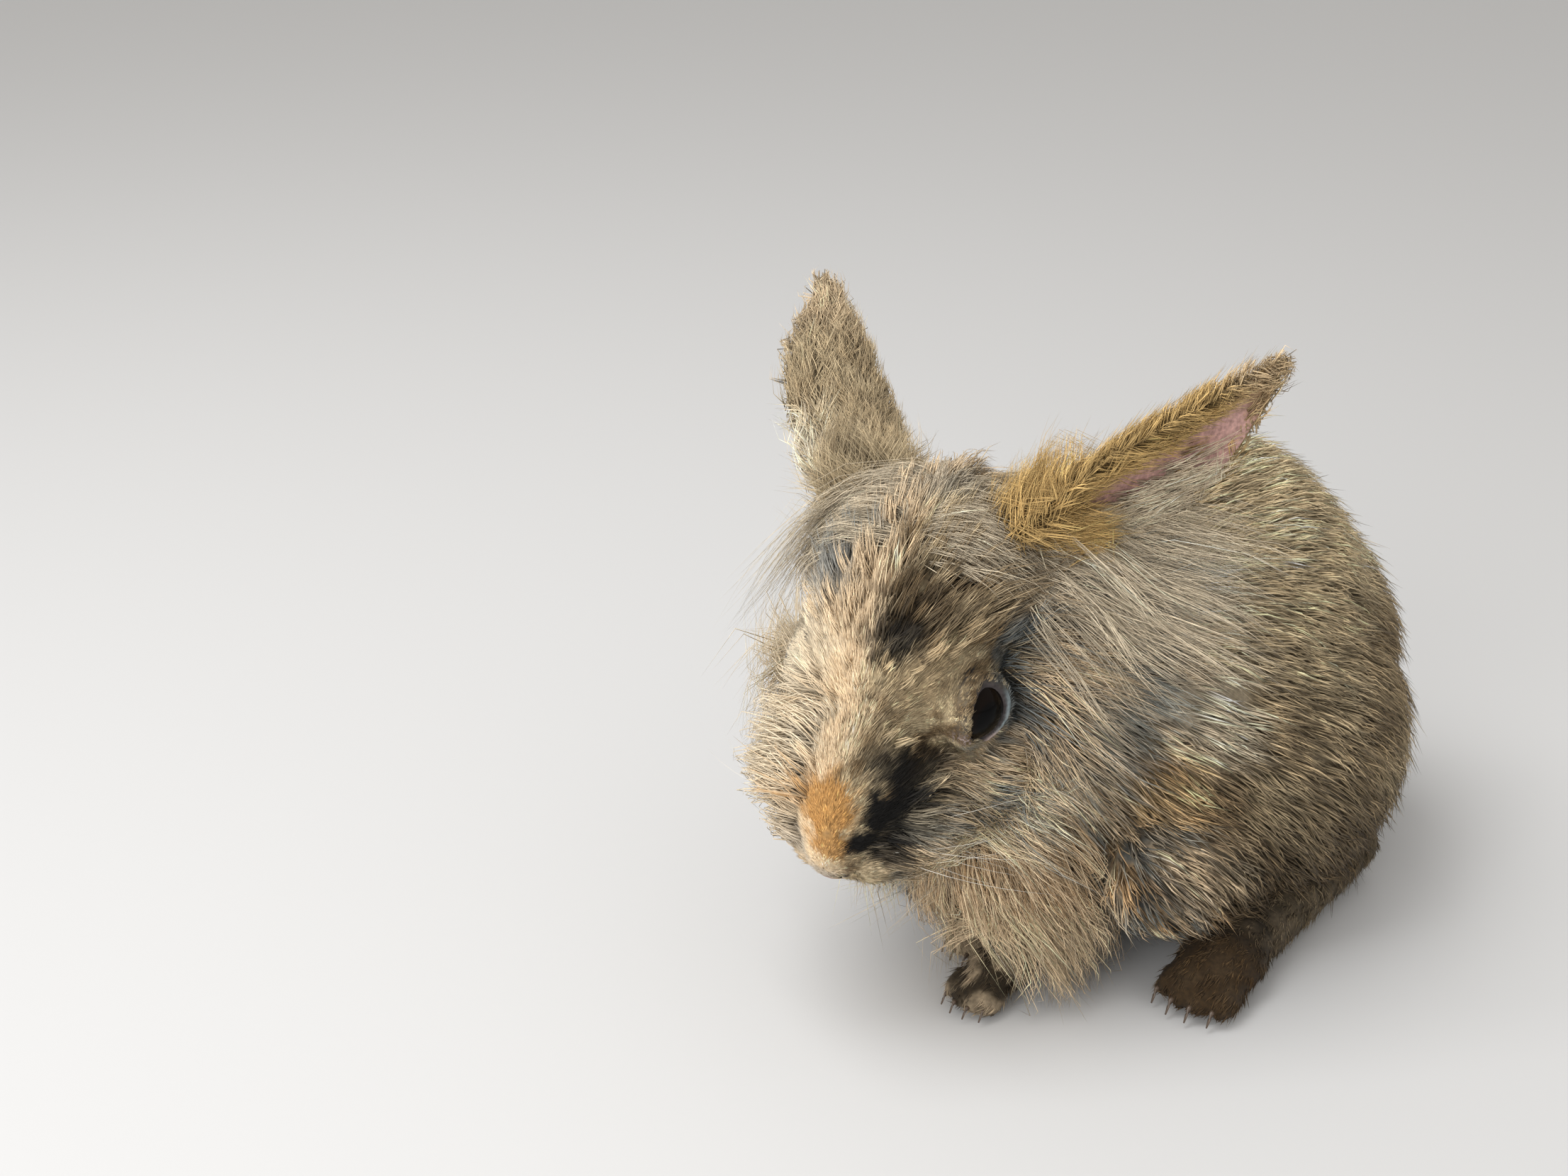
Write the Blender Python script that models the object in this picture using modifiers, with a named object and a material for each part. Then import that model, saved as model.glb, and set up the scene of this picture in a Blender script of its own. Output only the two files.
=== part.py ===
"""A lionhead rabbit at life size, crouched with its head low and its neck bent to its right.

Metres, +Z up. The rabbit faces -Y, so its left is +X. The sizes give the outside of the coat.
The animal is a cluster of overlapping lumps. Each sub-part is fused from its own lumps and its
neighbours', so that the outlines run on from one to the next, and is then parted from them by
a thin cut. Lumps of the head are placed in its own frame, where -Y runs to the nose. The long
hair of the crown, cheeks, chin, mane and bib is flat tapered locks, rooted in the head and the
neck, which run along the surface under them and are fused with it.
"""

import math
import random
from dataclasses import dataclass, replace

import bmesh
import bpy
from mathutils import Matrix, Vector
from mathutils.bvhtree import BVHTree

# Clearance between neighbouring parts
GAP = 0.0003

# Trunk: half width, half length and half height of each lump, and where its middle is
BARREL, BARREL_AT = Vector((0.053, 0.068, 0.055)), Vector((0.0, 0.006, 0.066))
LOIN, LOIN_AT = Vector((0.050, 0.056, 0.055)), Vector((0.0, 0.022, 0.073))
RUMP, RUMP_AT = Vector((0.049, 0.044, 0.048)), Vector((0.0, 0.048, 0.060))
CHEST, CHEST_AT = Vector((0.040, 0.036, 0.042)), Vector((-0.006, -0.030, 0.058))
FLANK, FLANK_AT = Vector((0.025, 0.044, 0.028)), Vector((0.028, -0.008, 0.033))

# Neck: the neck itself, and the cores of the mane's collar and of the bib on the chest
NAPE, NAPE_AT = Vector((0.034, 0.034, 0.034)), Vector((-0.012, -0.036, 0.084))
COLLAR, COLLAR_AT = Vector((0.035, 0.022, 0.037)), Vector((-0.014, -0.041, 0.078))
COLLAR_LEAN = math.radians(-24)
BIB, BIB_AT = Vector((0.029, 0.022, 0.026)), Vector((-0.008, -0.047, 0.045))
NECK_BACK = Vector((0.0, -0.030, 0.060))
NECK_BACK_NORMAL = Vector((0.0, 1.0, -0.25)).normalized()
# The hollow that takes the head is thinned to this share of its faces, and so is wider
HEAD_CLEAR, HEAD_THINNED = 0.0008, 0.3

# Head: the skull's middle, and how the head is turned, dipped and rolled
HEAD_AT = Vector((-0.0185, -0.0720, 0.0856))
HEAD_TURN, HEAD_DIP, HEAD_ROLL = math.radians(10), math.radians(41), math.radians(3)
OCCIPUT = Vector((0.0, 0.040, 0.0))
OCCIPUT_NORMAL = Vector((0.0, 0.90, -0.43)).normalized()

# Eyes, in the head's frame: the ball, the lids' outside and the almond between them
EYE_RADIUS, LID_RADIUS = 0.0084, 0.0098
EYE_AT = Vector((0.0190, -0.0035, 0.0042))
EYE_LOOKS = Vector((0.93, -0.30, 0.20)).normalized()
LID_OPENING = Vector((0.0054, 0.0078, 0.0080))
LID_SLANT = math.radians(14)
SOCKET_CLEAR = 0.0006

# Ears: length, half width, wall, where each leaves the head, where it aims and opens
EAR_LENGTH, EAR_HALF_WIDTH, EAR_WALL = 0.086, 0.0155, 0.0032
EAR_SUNK = 0.006
EAR_ROOT = Vector((0.0150, 0.034, 0.0120))
EAR_LEFT_AIM, EAR_LEFT_OPENS = Vector((0.52, 0.74, 0.47)), Vector((0.75, -0.45, -0.35))
EAR_RIGHT_AIM, EAR_RIGHT_OPENS = Vector((-0.75, 0.53, 0.44)), Vector((-0.50, 0.05, -0.75))

# Legs: where the paws and the feet stand, and the haunch
FOREPAW_LEFT_AT, FOREPAW_RIGHT_AT = Vector((0.003, -0.058, 0.0072)), Vector((-0.011, -0.040, 0.0072))
FORELEG_CUT, FORELEG_CUT_NORMAL = Vector((0, 0.020, 0.022)), Vector((0, 0.7, 0.7)).normalized()
HIND_TOES, HIND_HEEL = Vector((0.043, -0.020, 0.0080)), Vector((0.038, 0.050, 0.0100))
HAUNCH, HAUNCH_AT = Vector((0.025, 0.045, 0.040)), Vector((0.036, 0.023, 0.046))
HAUNCH_LEAN = math.radians(-18)

TAIL, TAIL_AT = Vector((0.0145, 0.015, 0.019)), Vector((0.0, 0.090, 0.040))
TAIL_LEAN = math.radians(25)

# Locks: how deep a root is sunk, the height over the coat, and the thickness at the root
LOCK_SUNK, LOCK_CLEAR, LOCK_THICK = 0.0035, 0.0016, 0.0017
LOCK_STATIONS, LOCK_TIP = 5, 0.0005
# How much higher and shorter a lock is tried, in turn, until it clears the other sub-parts
LOCK_TRIALS = ((0.0, 1.0), (0.001, 1.0), (0.002, 0.95), (0.0035, 0.9), (0.0, 0.7), (0.002, 0.65), (0.0, 0.5))
FAR = 0.12
CROWN_WIDTH, RUFF_WIDTH, MANE_WIDTH = 0.0078, 0.0085, 0.0098
MANE_SWEEP = math.radians(260)
FLOOR_CLEAR = 0.0025
SEED = 11

# Colour of each kind of part, and how rough it is
FUR_COLOURS = {
    "head": (0.50, 0.40, 0.28),
    "neck": (0.47, 0.41, 0.33),
    "torso": (0.36, 0.28, 0.19),
    "tail": (0.40, 0.33, 0.24),
    "ear": (0.52, 0.37, 0.20),
    "foreleg": (0.36, 0.29, 0.20),
    "hind_leg": (0.33, 0.25, 0.17),
}
FUR_ROUGHNESS = 0.9
EYE_COLOUR, EYE_ROUGHNESS = (0.012, 0.008, 0.007), 0.08


def clear_scene():
    for obj in list(bpy.data.objects):
        bpy.data.objects.remove(obj)


def material(name, colour, roughness):
    made = bpy.data.materials.new(name)
    made.use_nodes = True
    shader = made.node_tree.nodes["Principled BSDF"]
    shader.inputs["Base Color"].default_value = (*colour, 1.0)
    shader.inputs["Roughness"].default_value = roughness
    shader.inputs["Metallic"].default_value = 0.0
    return made


def collection(name):
    made = bpy.data.collections.new(name)
    bpy.context.scene.collection.children.link(made)
    return made


def object_of(bm, name, home):
    mesh = bpy.data.meshes.new(name)
    bm.to_mesh(mesh)
    bm.free()
    obj = bpy.data.objects.new(name, mesh)
    home.objects.link(obj)
    return obj


def as_helper(obj):
    obj.hide_render = True
    obj.display_type = "WIRE"
    return obj


def lump(centre, radii, frame=Matrix.Identity(4), lean=0.0):
    """The matrix that makes a unit sphere an ellipsoid, which leans nose down about X."""
    shape = Matrix.Diagonal((*radii, 1.0))
    return frame @ Matrix.Translation(centre) @ Matrix.Rotation(lean, 4, "X") @ shape


def limb(start, end, thick_start, thick_end, count):
    """Lumps strung from start to end."""
    made = []
    for i in range(count):
        t = i / (count - 1)
        radius = thick_start + (thick_end - thick_start) * t
        made.append(lump(start.lerp(end, t), (radius, radius, radius)))
    return made


def on_side(point, side):
    return Vector((point.x * side, point.y, point.z))


def bake(obj):
    """Applies the object's modifiers."""
    graph = bpy.context.evaluated_depsgraph_get()
    mesh = bpy.data.meshes.new_from_object(obj.evaluated_get(graph))
    obj.modifiers.clear()
    obj.data = mesh


def fuse(name, lumps, home, cell, soften, faces):
    """One closed, softened surface round the lumps, thinned to about that many triangles."""
    bm = bmesh.new()
    for matrix in lumps:
        bmesh.ops.create_uvsphere(bm, u_segments=28, v_segments=18, radius=1.0, matrix=matrix)
    obj = object_of(bm, name, home)
    remesh = obj.modifiers.new("Fuse", "REMESH")
    remesh.mode = "VOXEL"
    remesh.voxel_size = cell
    smooth = obj.modifiers.new("Soften", "SMOOTH")
    smooth.factor = 0.5
    smooth.iterations = soften
    bake(obj)
    thin_out(obj, faces)
    return obj


def shells_of(bm):
    """The mesh's loose pieces, each a set of its points."""
    left = set(bm.verts)
    shells = []
    while left:
        edge = [left.pop()]
        shell = set(edge)
        while edge:
            for link in edge.pop().link_edges:
                for vert in link.verts:
                    if vert not in shell:
                        shell.add(vert)
                        edge.append(vert)
        left -= shell
        shells.append(shell)
    return shells


def volume_of(shell):
    total = 0.0
    for face in {face for vert in shell for face in vert.link_faces}:
        first = face.verts[0].co
        for a, b in zip(face.verts[1:], face.verts[2:]):
            total += first.cross(a.co).dot(b.co)
    return total


def keep_largest(obj):
    """Drops every closed surface of the object but the one that holds the most."""
    bm = bmesh.new()
    bm.from_mesh(obj.data)
    shells = shells_of(bm)
    best = max(shells, key=volume_of)
    loose = [vert for shell in shells if shell is not best for vert in shell]
    bmesh.ops.delete(bm, geom=loose, context="VERTS")
    bm.to_mesh(obj.data)
    bm.free()


def swollen(obj, helpers, by=GAP, thinned=1.0):
    """A copy grown along its normals, as a cutter that leaves a gap. It may be thinned first."""
    copy = bpy.data.objects.new(obj.name + "_cutter", obj.data.copy())
    helpers.objects.link(copy)
    if thinned < 1.0:
        copy.modifiers.new("Thin", "DECIMATE").ratio = thinned
    grow = copy.modifiers.new("Grow", "DISPLACE")
    grow.strength = by
    grow.mid_level = 0.0
    bake(copy)
    return as_helper(copy)


def combine(obj, other, operation):
    change = obj.modifiers.new("Change", "BOOLEAN")
    change.operation = operation
    change.object = other
    bake(obj)


def clear_of(obj, helpers, *neighbours):
    for other in neighbours:
        combine(obj, swollen(other, helpers), "DIFFERENCE")
    keep_largest(obj)


def cutter_of(name, lumps, helpers):
    bm = bmesh.new()
    for matrix in lumps:
        bmesh.ops.create_uvsphere(bm, u_segments=10, v_segments=7, radius=1.0, matrix=matrix)
    return as_helper(object_of(bm, name, helpers))


def slice_off(obj, point, normal):
    """Cuts away what lies past the plane, on the side that its normal points to."""
    bm = bmesh.new()
    bm.from_mesh(obj.data)
    geom = bm.verts[:] + bm.edges[:] + bm.faces[:]
    bmesh.ops.bisect_plane(bm, geom=geom, plane_co=point, plane_no=normal, clear_outer=True)
    rim = [edge for edge in bm.edges if edge.is_boundary]
    bmesh.ops.holes_fill(bm, edges=rim)
    bmesh.ops.triangulate(bm, faces=[face for face in bm.faces if len(face.verts) > 4])
    bmesh.ops.recalc_face_normals(bm, faces=bm.faces)
    bm.to_mesh(obj.data)
    bm.free()


def head_frame():
    turn = Matrix.Rotation(HEAD_TURN, 4, "Z")
    dip = Matrix.Rotation(HEAD_DIP, 4, "X")
    roll = Matrix.Rotation(HEAD_ROLL, 4, "Y")
    return Matrix.Translation(HEAD_AT) @ turn @ dip @ roll


def head_lumps():
    frame = head_frame()
    lumps = [
        lump((0, 0.013, 0.006), (0.0240, 0.036, 0.0255), frame),
        lump((0, -0.019, 0.001), (0.0150, 0.031, 0.0175), frame, math.radians(8)),
        lump((0, -0.0430, -0.0040), (0.0085, 0.0088, 0.0105), frame),
        lump((0, -0.0290, -0.0190), (0.0095, 0.0150, 0.0075), frame),
        lump((0, 0.006, -0.017), (0.0180, 0.028, 0.0160), frame),
    ]
    for side in (1, -1):
        lumps += [
            lump((0.0068 * side, -0.0365, -0.0095), (0.0092, 0.0125, 0.0095), frame),
            lump((0.0140 * side, 0.001, -0.0110), (0.0165, 0.0250, 0.0190), frame),
            lump((0.0090 * side, -0.018, -0.0080), (0.0115, 0.0240, 0.0150), frame),
            lump((0.0115 * side, 0.001, 0.0100), (0.0110, 0.0170, 0.0100), frame),
            lump(on_side(EYE_AT, side), (LID_RADIUS,) * 3, frame),
        ]
    return lumps


def trunk_lumps():
    return [
        lump(BARREL_AT, BARREL),
        lump(LOIN_AT, LOIN, lean=math.radians(-8)),
        lump(RUMP_AT, RUMP, lean=math.radians(20)),
        lump(CHEST_AT, CHEST),
        lump(on_side(FLANK_AT, 1), FLANK),
        lump(on_side(FLANK_AT, -1), FLANK),
    ]


def neck_lumps():
    return [lump(NAPE_AT, NAPE), lump(COLLAR_AT, COLLAR, lean=COLLAR_LEAN), lump(BIB_AT, BIB)]


def eye_opening(side):
    """The almond between the lids, which runs from the front corner up to the back one."""
    looks = on_side(EYE_LOOKS, side)
    turn = looks.to_track_quat("Z", "Y").to_matrix().to_4x4()
    centre = on_side(EYE_AT, side) + looks * EYE_RADIUS * 0.8
    slant = Matrix.Rotation(LID_SLANT * side, 4, "Z")
    shape = Matrix.Diagonal((*LID_OPENING, 1.0))
    return head_frame() @ Matrix.Translation(centre) @ turn @ slant @ shape


def mouth_cutter(helpers):
    """A thin ring round the muzzle, which leaves the line of the mouth."""
    bpy.ops.mesh.primitive_torus_add(
        major_segments=22, minor_segments=5, major_radius=1.0, minor_radius=0.06
    )
    ring = bpy.context.object
    ring.name = "mouth_cutter"
    place = Matrix.Translation((0, -0.0300, -0.0160)) @ Matrix.Rotation(math.radians(-4), 4, "X")
    ring.data.transform(head_frame() @ place @ Matrix.Diagonal((0.0128, 0.0165, 0.012, 1.0)))
    for home in list(ring.users_collection):
        home.objects.unlink(ring)
    helpers.objects.link(ring)
    return as_helper(ring)


def make_head(home, helpers):
    frame = head_frame()
    head = fuse("head", head_lumps(), home, cell=0.0012, soften=3, faces=1700)
    occiput = frame @ OCCIPUT
    slice_off(head, occiput, frame.to_3x3() @ OCCIPUT_NORMAL)
    for side in (1, -1):
        ball = lump(on_side(EYE_AT, side), (EYE_RADIUS + SOCKET_CLEAR,) * 3, frame)
        combine(head, cutter_of("socket", [ball], helpers), "DIFFERENCE")
        combine(head, cutter_of("lids", [eye_opening(side)], helpers), "DIFFERENCE")
        slant = Matrix.Rotation(math.radians(40 * side), 4, "Y")
        place = Matrix.Translation((0.0052 * side, -0.0490, -0.0060)) @ slant
        slit = frame @ place @ Matrix.Diagonal((0.0026, 0.0036, 0.0009, 1.0))
        combine(head, cutter_of("nostril", [slit], helpers), "DIFFERENCE")
    cleft = lump((0, -0.0500, -0.0125), (0.0006, 0.0034, 0.0046), frame)
    combine(head, cutter_of("cleft", [cleft], helpers), "DIFFERENCE")
    combine(head, mouth_cutter(helpers), "DIFFERENCE")
    keep_largest(head)
    return head


def make_eye(name, side, home):
    bm = bmesh.new()
    ball = lump(on_side(EYE_AT, side), (EYE_RADIUS,) * 3, head_frame())
    bmesh.ops.create_uvsphere(bm, u_segments=16, v_segments=9, radius=1.0, matrix=ball)
    return object_of(bm, name, home)


def ear_section(t, points):
    """One ring of the ear at t from root to tip: its outer arc, then its inner one."""
    chord = EAR_HALF_WIDTH * (0.46 + 0.54 * math.sin(math.pi * min(t * 0.95, 1.0)))
    chord *= (1 - max(0.0, t - 0.45) ** 2 / 0.31) ** 0.62
    spread = math.radians(148 - 96 * min(1.0, t / 0.38) ** 0.8)
    radius = chord / math.sin(min(spread, math.pi / 2))
    wall = EAR_WALL * (1 - 0.35 * t)
    ring = []
    for layer, order in ((1, range(points)), (0, reversed(range(points)))):
        for i in order:
            u = 2 * i / (points - 1) - 1
            inset = 0 if layer else wall * (1 - 0.55 * abs(u) ** 3)
            reach = radius - inset
            angle = u * spread * (1 if layer else 0.985)
            ring.append(Vector((reach * math.sin(angle), 0, radius - reach * math.cos(angle))))
    return ring


def make_ear(name, side, aim, opens, home):
    """A leaf rolled into a cup: nearly a tube at the root and a trough towards the tip."""
    rows, points = 13, 9
    aim = aim.normalized()
    opens = (opens - opens.dot(aim) * aim).normalized()
    across = aim.cross(opens)
    root = head_frame() @ on_side(EAR_ROOT, side)
    bm = bmesh.new()
    rings = []
    for row in range(rows):
        t = row / (rows - 1) * 0.985
        bow = opens * (0.005 * math.sin(math.pi * t) - 0.006)
        centre = root + aim * (EAR_LENGTH * t - EAR_SUNK) + bow
        ring = ear_section(t, points)
        rings.append([bm.verts.new(centre + across * p.x + opens * p.z) for p in ring])
    for lower, upper in zip(rings, rings[1:]):
        for i in range(2 * points):
            j = (i + 1) % (2 * points)
            bm.faces.new((lower[i], lower[j], upper[j]))
            bm.faces.new((lower[i], upper[j], upper[i]))
    for ring in (rings[0], rings[-1]):
        for i in range(points - 1):
            far = 2 * points - 1 - i
            bm.faces.new((ring[i], ring[i + 1], ring[far - 1], ring[far]))
    bmesh.ops.recalc_face_normals(bm, faces=bm.faces)
    return object_of(bm, name, home)


def tree_of(objects):
    """One search tree over the surfaces of all the objects."""
    points, faces = [], []
    for obj in objects:
        base = len(points)
        points += [vert.co.copy() for vert in obj.data.vertices]
        faces += [[base + i for i in face.vertices] for face in obj.data.polygons]
    return BVHTree.FromPolygons(points, faces)


def lock_stations(plan, root, normal, ground):
    """Points, headings and normals along a lock that follows the ground under it."""
    step = plan.length / (LOCK_STATIONS - 1)
    flat = (plan.lie - plan.lie.dot(normal) * normal).normalized()
    heading = (flat + plan.stand * normal).normalized()
    stations = [(root - normal * LOCK_SUNK, heading, normal)]
    at = root.copy()
    for i in range(1, LOCK_STATIONS):
        heading = (heading + Vector((0, 0, -plan.sag * i / LOCK_STATIONS))).normalized()
        at = at + heading * step
        near, up, _, _ = ground.find_nearest(at)
        least = LOCK_CLEAR + LOCK_THICK / 2 + plan.rise
        if (at - near).dot(up) < least:
            at = near + up * least
        at.z = max(at.z, FLOOR_CLEAR)
        heading = (heading - plan.follow * heading.dot(up) * up).normalized()
        stations.append((at.copy(), heading.copy(), up.copy()))
    return stations


def lock_object(stations, width, home, grown=0.0):
    """A closed flat lock: diamond sections that widen, then narrow to a blunt point.

    A grown one is that much larger on every side, as a cutter that leaves room for it.
    """
    bm = bmesh.new()
    rings = []
    for i, (at, heading, up) in enumerate(stations):
        t = i / (len(stations) - 1)
        across = heading.cross(up).normalized()
        rise = across.cross(heading).normalized()
        half = max(width / 2 * (0.85 + 0.9 * t) * (1 - t) ** 0.7, LOCK_TIP) + grown * 1.4
        high = LOCK_THICK / 2 * (1 - 0.7 * t) + grown * 1.4
        ends = heading * grown * ((i == len(stations) - 1) - (i == 0))
        low_side = rise * high * 0.4
        sides = (across * half - low_side, rise * high, -across * half - low_side, -rise * high)
        rings.append([bm.verts.new(at + ends + side) for side in sides])
    for lower, upper in zip(rings, rings[1:]):
        for i in range(4):
            j = (i + 1) % 4
            bm.faces.new((lower[i], lower[j], upper[j]))
            bm.faces.new((lower[i], upper[j], upper[i]))
    for ring in (rings[0], rings[-1]):
        bm.faces.new((ring[0], ring[1], ring[2]))
        bm.faces.new((ring[0], ring[2], ring[3]))
    bmesh.ops.recalc_face_normals(bm, faces=bm.faces)
    return object_of(bm, "lock", home)


def grow_locks(core, plans, ground, others, helpers):
    """Makes each planned lock, raised or shortened until it crosses no node and no lock."""
    locks = []
    for plan in plans:
        outward = plan.outward.normalized()
        root, normal, _, _ = core.ray_cast(plan.inside + outward * FAR, -outward)
        if root is None:
            continue
        for raised, shorter in LOCK_TRIALS:
            trial = replace(plan, rise=plan.rise + raised, length=plan.length * shorter)
            stations = lock_stations(trial, root, normal, ground)
            room = lock_object(stations, plan.width, helpers, GAP)
            reach = tree_of([room])
            bpy.data.objects.remove(room)
            if not reach.overlap(others) and not reach.overlap(tree_of(locks)):
                locks.append(lock_object(stations, plan.width, helpers))
                break
    return locks


def join_locks(obj, locks):
    """Fuses the locks with their node in one union, and removes them."""
    bunch = collection("locks_of_" + obj.name)
    for lock in locks:
        for home in list(lock.users_collection):
            home.objects.unlink(lock)
        bunch.objects.link(lock)
    change = obj.modifiers.new("Join", "BOOLEAN")
    change.operation = "UNION"
    change.operand_type = "COLLECTION"
    change.collection = bunch
    change.solver = "MANIFOLD"
    bake(obj)
    for lock in locks:
        bpy.data.objects.remove(lock)
    bpy.data.collections.remove(bunch)
    keep_largest(obj)


def thin_out(obj, faces):
    """Splits the faces into triangles and merges short edges down to about that many."""
    obj.modifiers.new("Split", "TRIANGULATE")
    bake(obj)
    thin = obj.modifiers.new("Thin", "DECIMATE")
    thin.ratio = min(1.0, faces / len(obj.data.polygons))
    bake(obj)


@dataclass
class Lock:
    """Where a lock is rooted, and how it lies: its root is where a ray to inside meets the core."""

    inside: Vector
    outward: Vector
    lie: Vector
    length: float
    width: float
    rise: float = 0.0
    stand: float = 0.2
    follow: float = 0.8
    sag: float = 0.2


def spread(draw, low, high):
    return low + (high - low) * draw.random()


def crown_locks(draw):
    """Locks rooted between the ears, which part to both sides over the brow."""
    plans = []
    for row, count in enumerate((6, 8, 8)):
        for i in range(count):
            across = 2 * (i + spread(draw, 0.3, 0.7)) / count - 1
            side = 1 if across > 0 else -1
            outward = Vector((across * 0.55, 0.25 + 0.35 * row, 1.0))
            lie = Vector((side * (0.3 + 0.9 * abs(across)), -0.8 + 0.3 * row, -0.2))
            length = spread(draw, 0.028, 0.036)
            inside = Vector((0, 0.012, 0.004))
            plans.append(Lock(inside, outward, lie, length, CROWN_WIDTH, 0.0013 * row))
    return plans


def cheek_locks(draw):
    """Ruffs that stand out from the cheeks, the lower ones first."""
    plans = []
    for side in (1, -1):
        for row in range(3):
            for i in range(5):
                inside = Vector((0, -0.004 + 0.007 * row, -0.007))
                outward = Vector((side, 0, 0.10 - 0.30 * i + spread(draw, -0.08, 0.08)))
                lie = Vector((0.3 * side, 0.35, -0.5 + 0.10 * row))
                length = spread(draw, 0.020, 0.027)
                plans.append(Lock(inside, outward, lie, length, RUFF_WIDTH, 0, 1.4, 0.1, 0.15))
    return plans


def beard_locks(draw):
    plans = []
    for row in range(2):
        for i in range(4):
            across = (i - 1.5) / 1.5
            inside = Vector((0.006 * across, -0.008 + 0.012 * row, -0.012))
            outward = Vector((across * 0.6, -0.25, -1.0))
            lie = Vector((across * 0.3, 0.75, -0.75))
            plans.append(Lock(inside, outward, lie, spread(draw, 0.018, 0.024), RUFF_WIDTH, 0, 0.5, 0.3))
    return plans


def head_lock_plans(draw):
    """The head's locks, turned from the head's frame to the row's."""
    frame = head_frame()
    turn = frame.to_3x3()
    plans = crown_locks(draw) + cheek_locks(draw) + beard_locks(draw)
    for plan in plans:
        plan.inside = frame @ plan.inside
        plan.outward = turn @ plan.outward
        plan.lie = turn @ plan.lie
    return plans


def neck_lock_plans(draw):
    """The mane, in rings round the neck, and the bib that hangs on the chest, the lowest first."""
    plans = []
    for row in range(3):
        for i in range(7):
            across = (i - 3) / 3 + spread(draw, -0.08, 0.08)
            inside = Vector((-0.004, -0.036, 0.036 + 0.009 * row))
            outward = Vector((across * 1.4, -0.7, -0.45 + 0.25 * row))
            lie = Vector((0.45 * across, -0.1, -1.0))
            length = spread(draw, 0.020, 0.028)
            plans.append(Lock(inside, outward, lie, length, MANE_WIDTH, 0.0012 * row, sag=0.3))
    for row, back in enumerate((-0.033, -0.043, -0.053, -0.061)):
        count = 17 - row
        for i in range(count):
            angle = MANE_SWEEP * ((i + spread(draw, 0.25, 0.75)) / count - 0.5)
            outward = Vector((math.sin(angle), spread(draw, -0.1, 0.1), math.cos(angle)))
            inside = Vector((-0.012, back, 0.074))
            lie = Vector((0.5 * math.sin(angle), 0.8, -0.2 - 0.6 * abs(math.sin(angle))))
            length = spread(draw, 0.026, 0.034)
            plans.append(Lock(inside, outward, lie, length, MANE_WIDTH, 0.0013 * row))
    return plans


def foreleg_lumps(paw, side):
    lumps = [lump(paw, (0.0082, 0.0140, 0.0082))]
    for toe in range(4):
        across = (toe - 1.5) * 0.0038
        reach = 0.0120 - 0.0016 * abs(toe - 1.5)
        lumps.append(lump(paw + Vector((across, -reach, -0.0025)), (0.0026, 0.0052, 0.0044)))
    wrist = paw + Vector((0, 0.009, 0.006))
    elbow = paw + Vector((0.006 * side, 0.026, 0.030))
    return lumps + limb(wrist, elbow, 0.0088, 0.0120, 5)


def hind_leg_lumps(side):
    toes, heel = on_side(HIND_TOES, side), on_side(HIND_HEEL, side)
    ahead = (toes - heel).normalized()
    lumps = limb(heel, toes, 0.0110, 0.0100, 9)
    lumps.append(lump(toes, (0.0120, 0.016, 0.0085)))
    for toe in range(4):
        across = (toe - 1.5) * 0.0052
        reach = 0.0130 - 0.0018 * abs(toe - 1.5)
        tip = toes + ahead * reach + Vector((across, 0, -0.0025))
        lumps.append(lump(tip, (0.0034, 0.0075, 0.0052)))
    lumps.append(lump(on_side(HAUNCH_AT, side), HAUNCH, lean=HAUNCH_LEAN))
    return lumps


def haunch_region(side, helpers):
    """The room of a hind leg: what lies in it is leg, and what lies past it is trunk."""
    foot = on_side(HIND_TOES.lerp(HIND_HEEL, 0.5), side)
    lumps = [
        lump(on_side(HAUNCH_AT, side) + Vector((0.010 * side, 0, -0.004)), HAUNCH * 1.04, lean=HAUNCH_LEAN),
        lump(foot, (0.0170, 0.0650, 0.0190)),
    ]
    return as_helper(fuse("haunch_region", lumps, helpers, 0.004, 6, 160))


def make_hind_leg(name, side, home, helpers):
    """Returns the leg and the room that it takes from the trunk."""
    region = haunch_region(side, helpers)
    leg = fuse(name, hind_leg_lumps(side) + trunk_lumps(), home, 0.0019, 4, 1700)
    slice_off(leg, Vector((0.008 * side, 0, 0)), Vector((-side, 0, 0)))
    combine(leg, region, "INTERSECT")
    keep_largest(leg)
    slice_off(leg, Vector(), Vector((0, 0, -1)))
    return leg, swollen(region, helpers)


def make_foreleg(name, paw, side, home):
    leg = fuse(name, foreleg_lumps(paw, side), home, 0.0013, 3, 520)
    slice_off(leg, paw + FORELEG_CUT, FORELEG_CUT_NORMAL)
    slice_off(leg, Vector(), Vector((0, 0, -1)))
    return leg


def make_neck(head, ears, forelegs, rooms, home, helpers):
    neck = fuse("neck", neck_lumps() + trunk_lumps(), home, 0.0026, 6, 1900)
    slice_off(neck, NECK_BACK - NECK_BACK_NORMAL * GAP, NECK_BACK_NORMAL)
    for room in rooms:
        combine(neck, room, "DIFFERENCE")
    combine(neck, swollen(head, helpers, HEAD_CLEAR, HEAD_THINNED), "DIFFERENCE")
    clear_of(neck, helpers, *ears, *forelegs)
    return neck


def make_torso(rooms, forelegs, home, helpers):
    torso = fuse("torso", trunk_lumps() + neck_lumps(), home, 0.0028, 8, 1300)
    slice_off(torso, NECK_BACK, -NECK_BACK_NORMAL)
    for room in rooms:
        combine(torso, room, "DIFFERENCE")
    clear_of(torso, helpers, *forelegs)
    return torso


def stand_at_origin(parts):
    """Moves everything so that the origin is under the middle of the whole box."""
    points = [vert.co for obj in parts for vert in obj.data.vertices]
    low = [min(point[i] for point in points) for i in range(3)]
    high = [max(point[i] for point in points) for i in range(3)]
    shift = Vector((-(low[0] + high[0]) / 2, -(low[1] + high[1]) / 2, -low[2]))
    for obj in parts:
        obj.data.transform(Matrix.Translation(shift))


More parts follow.
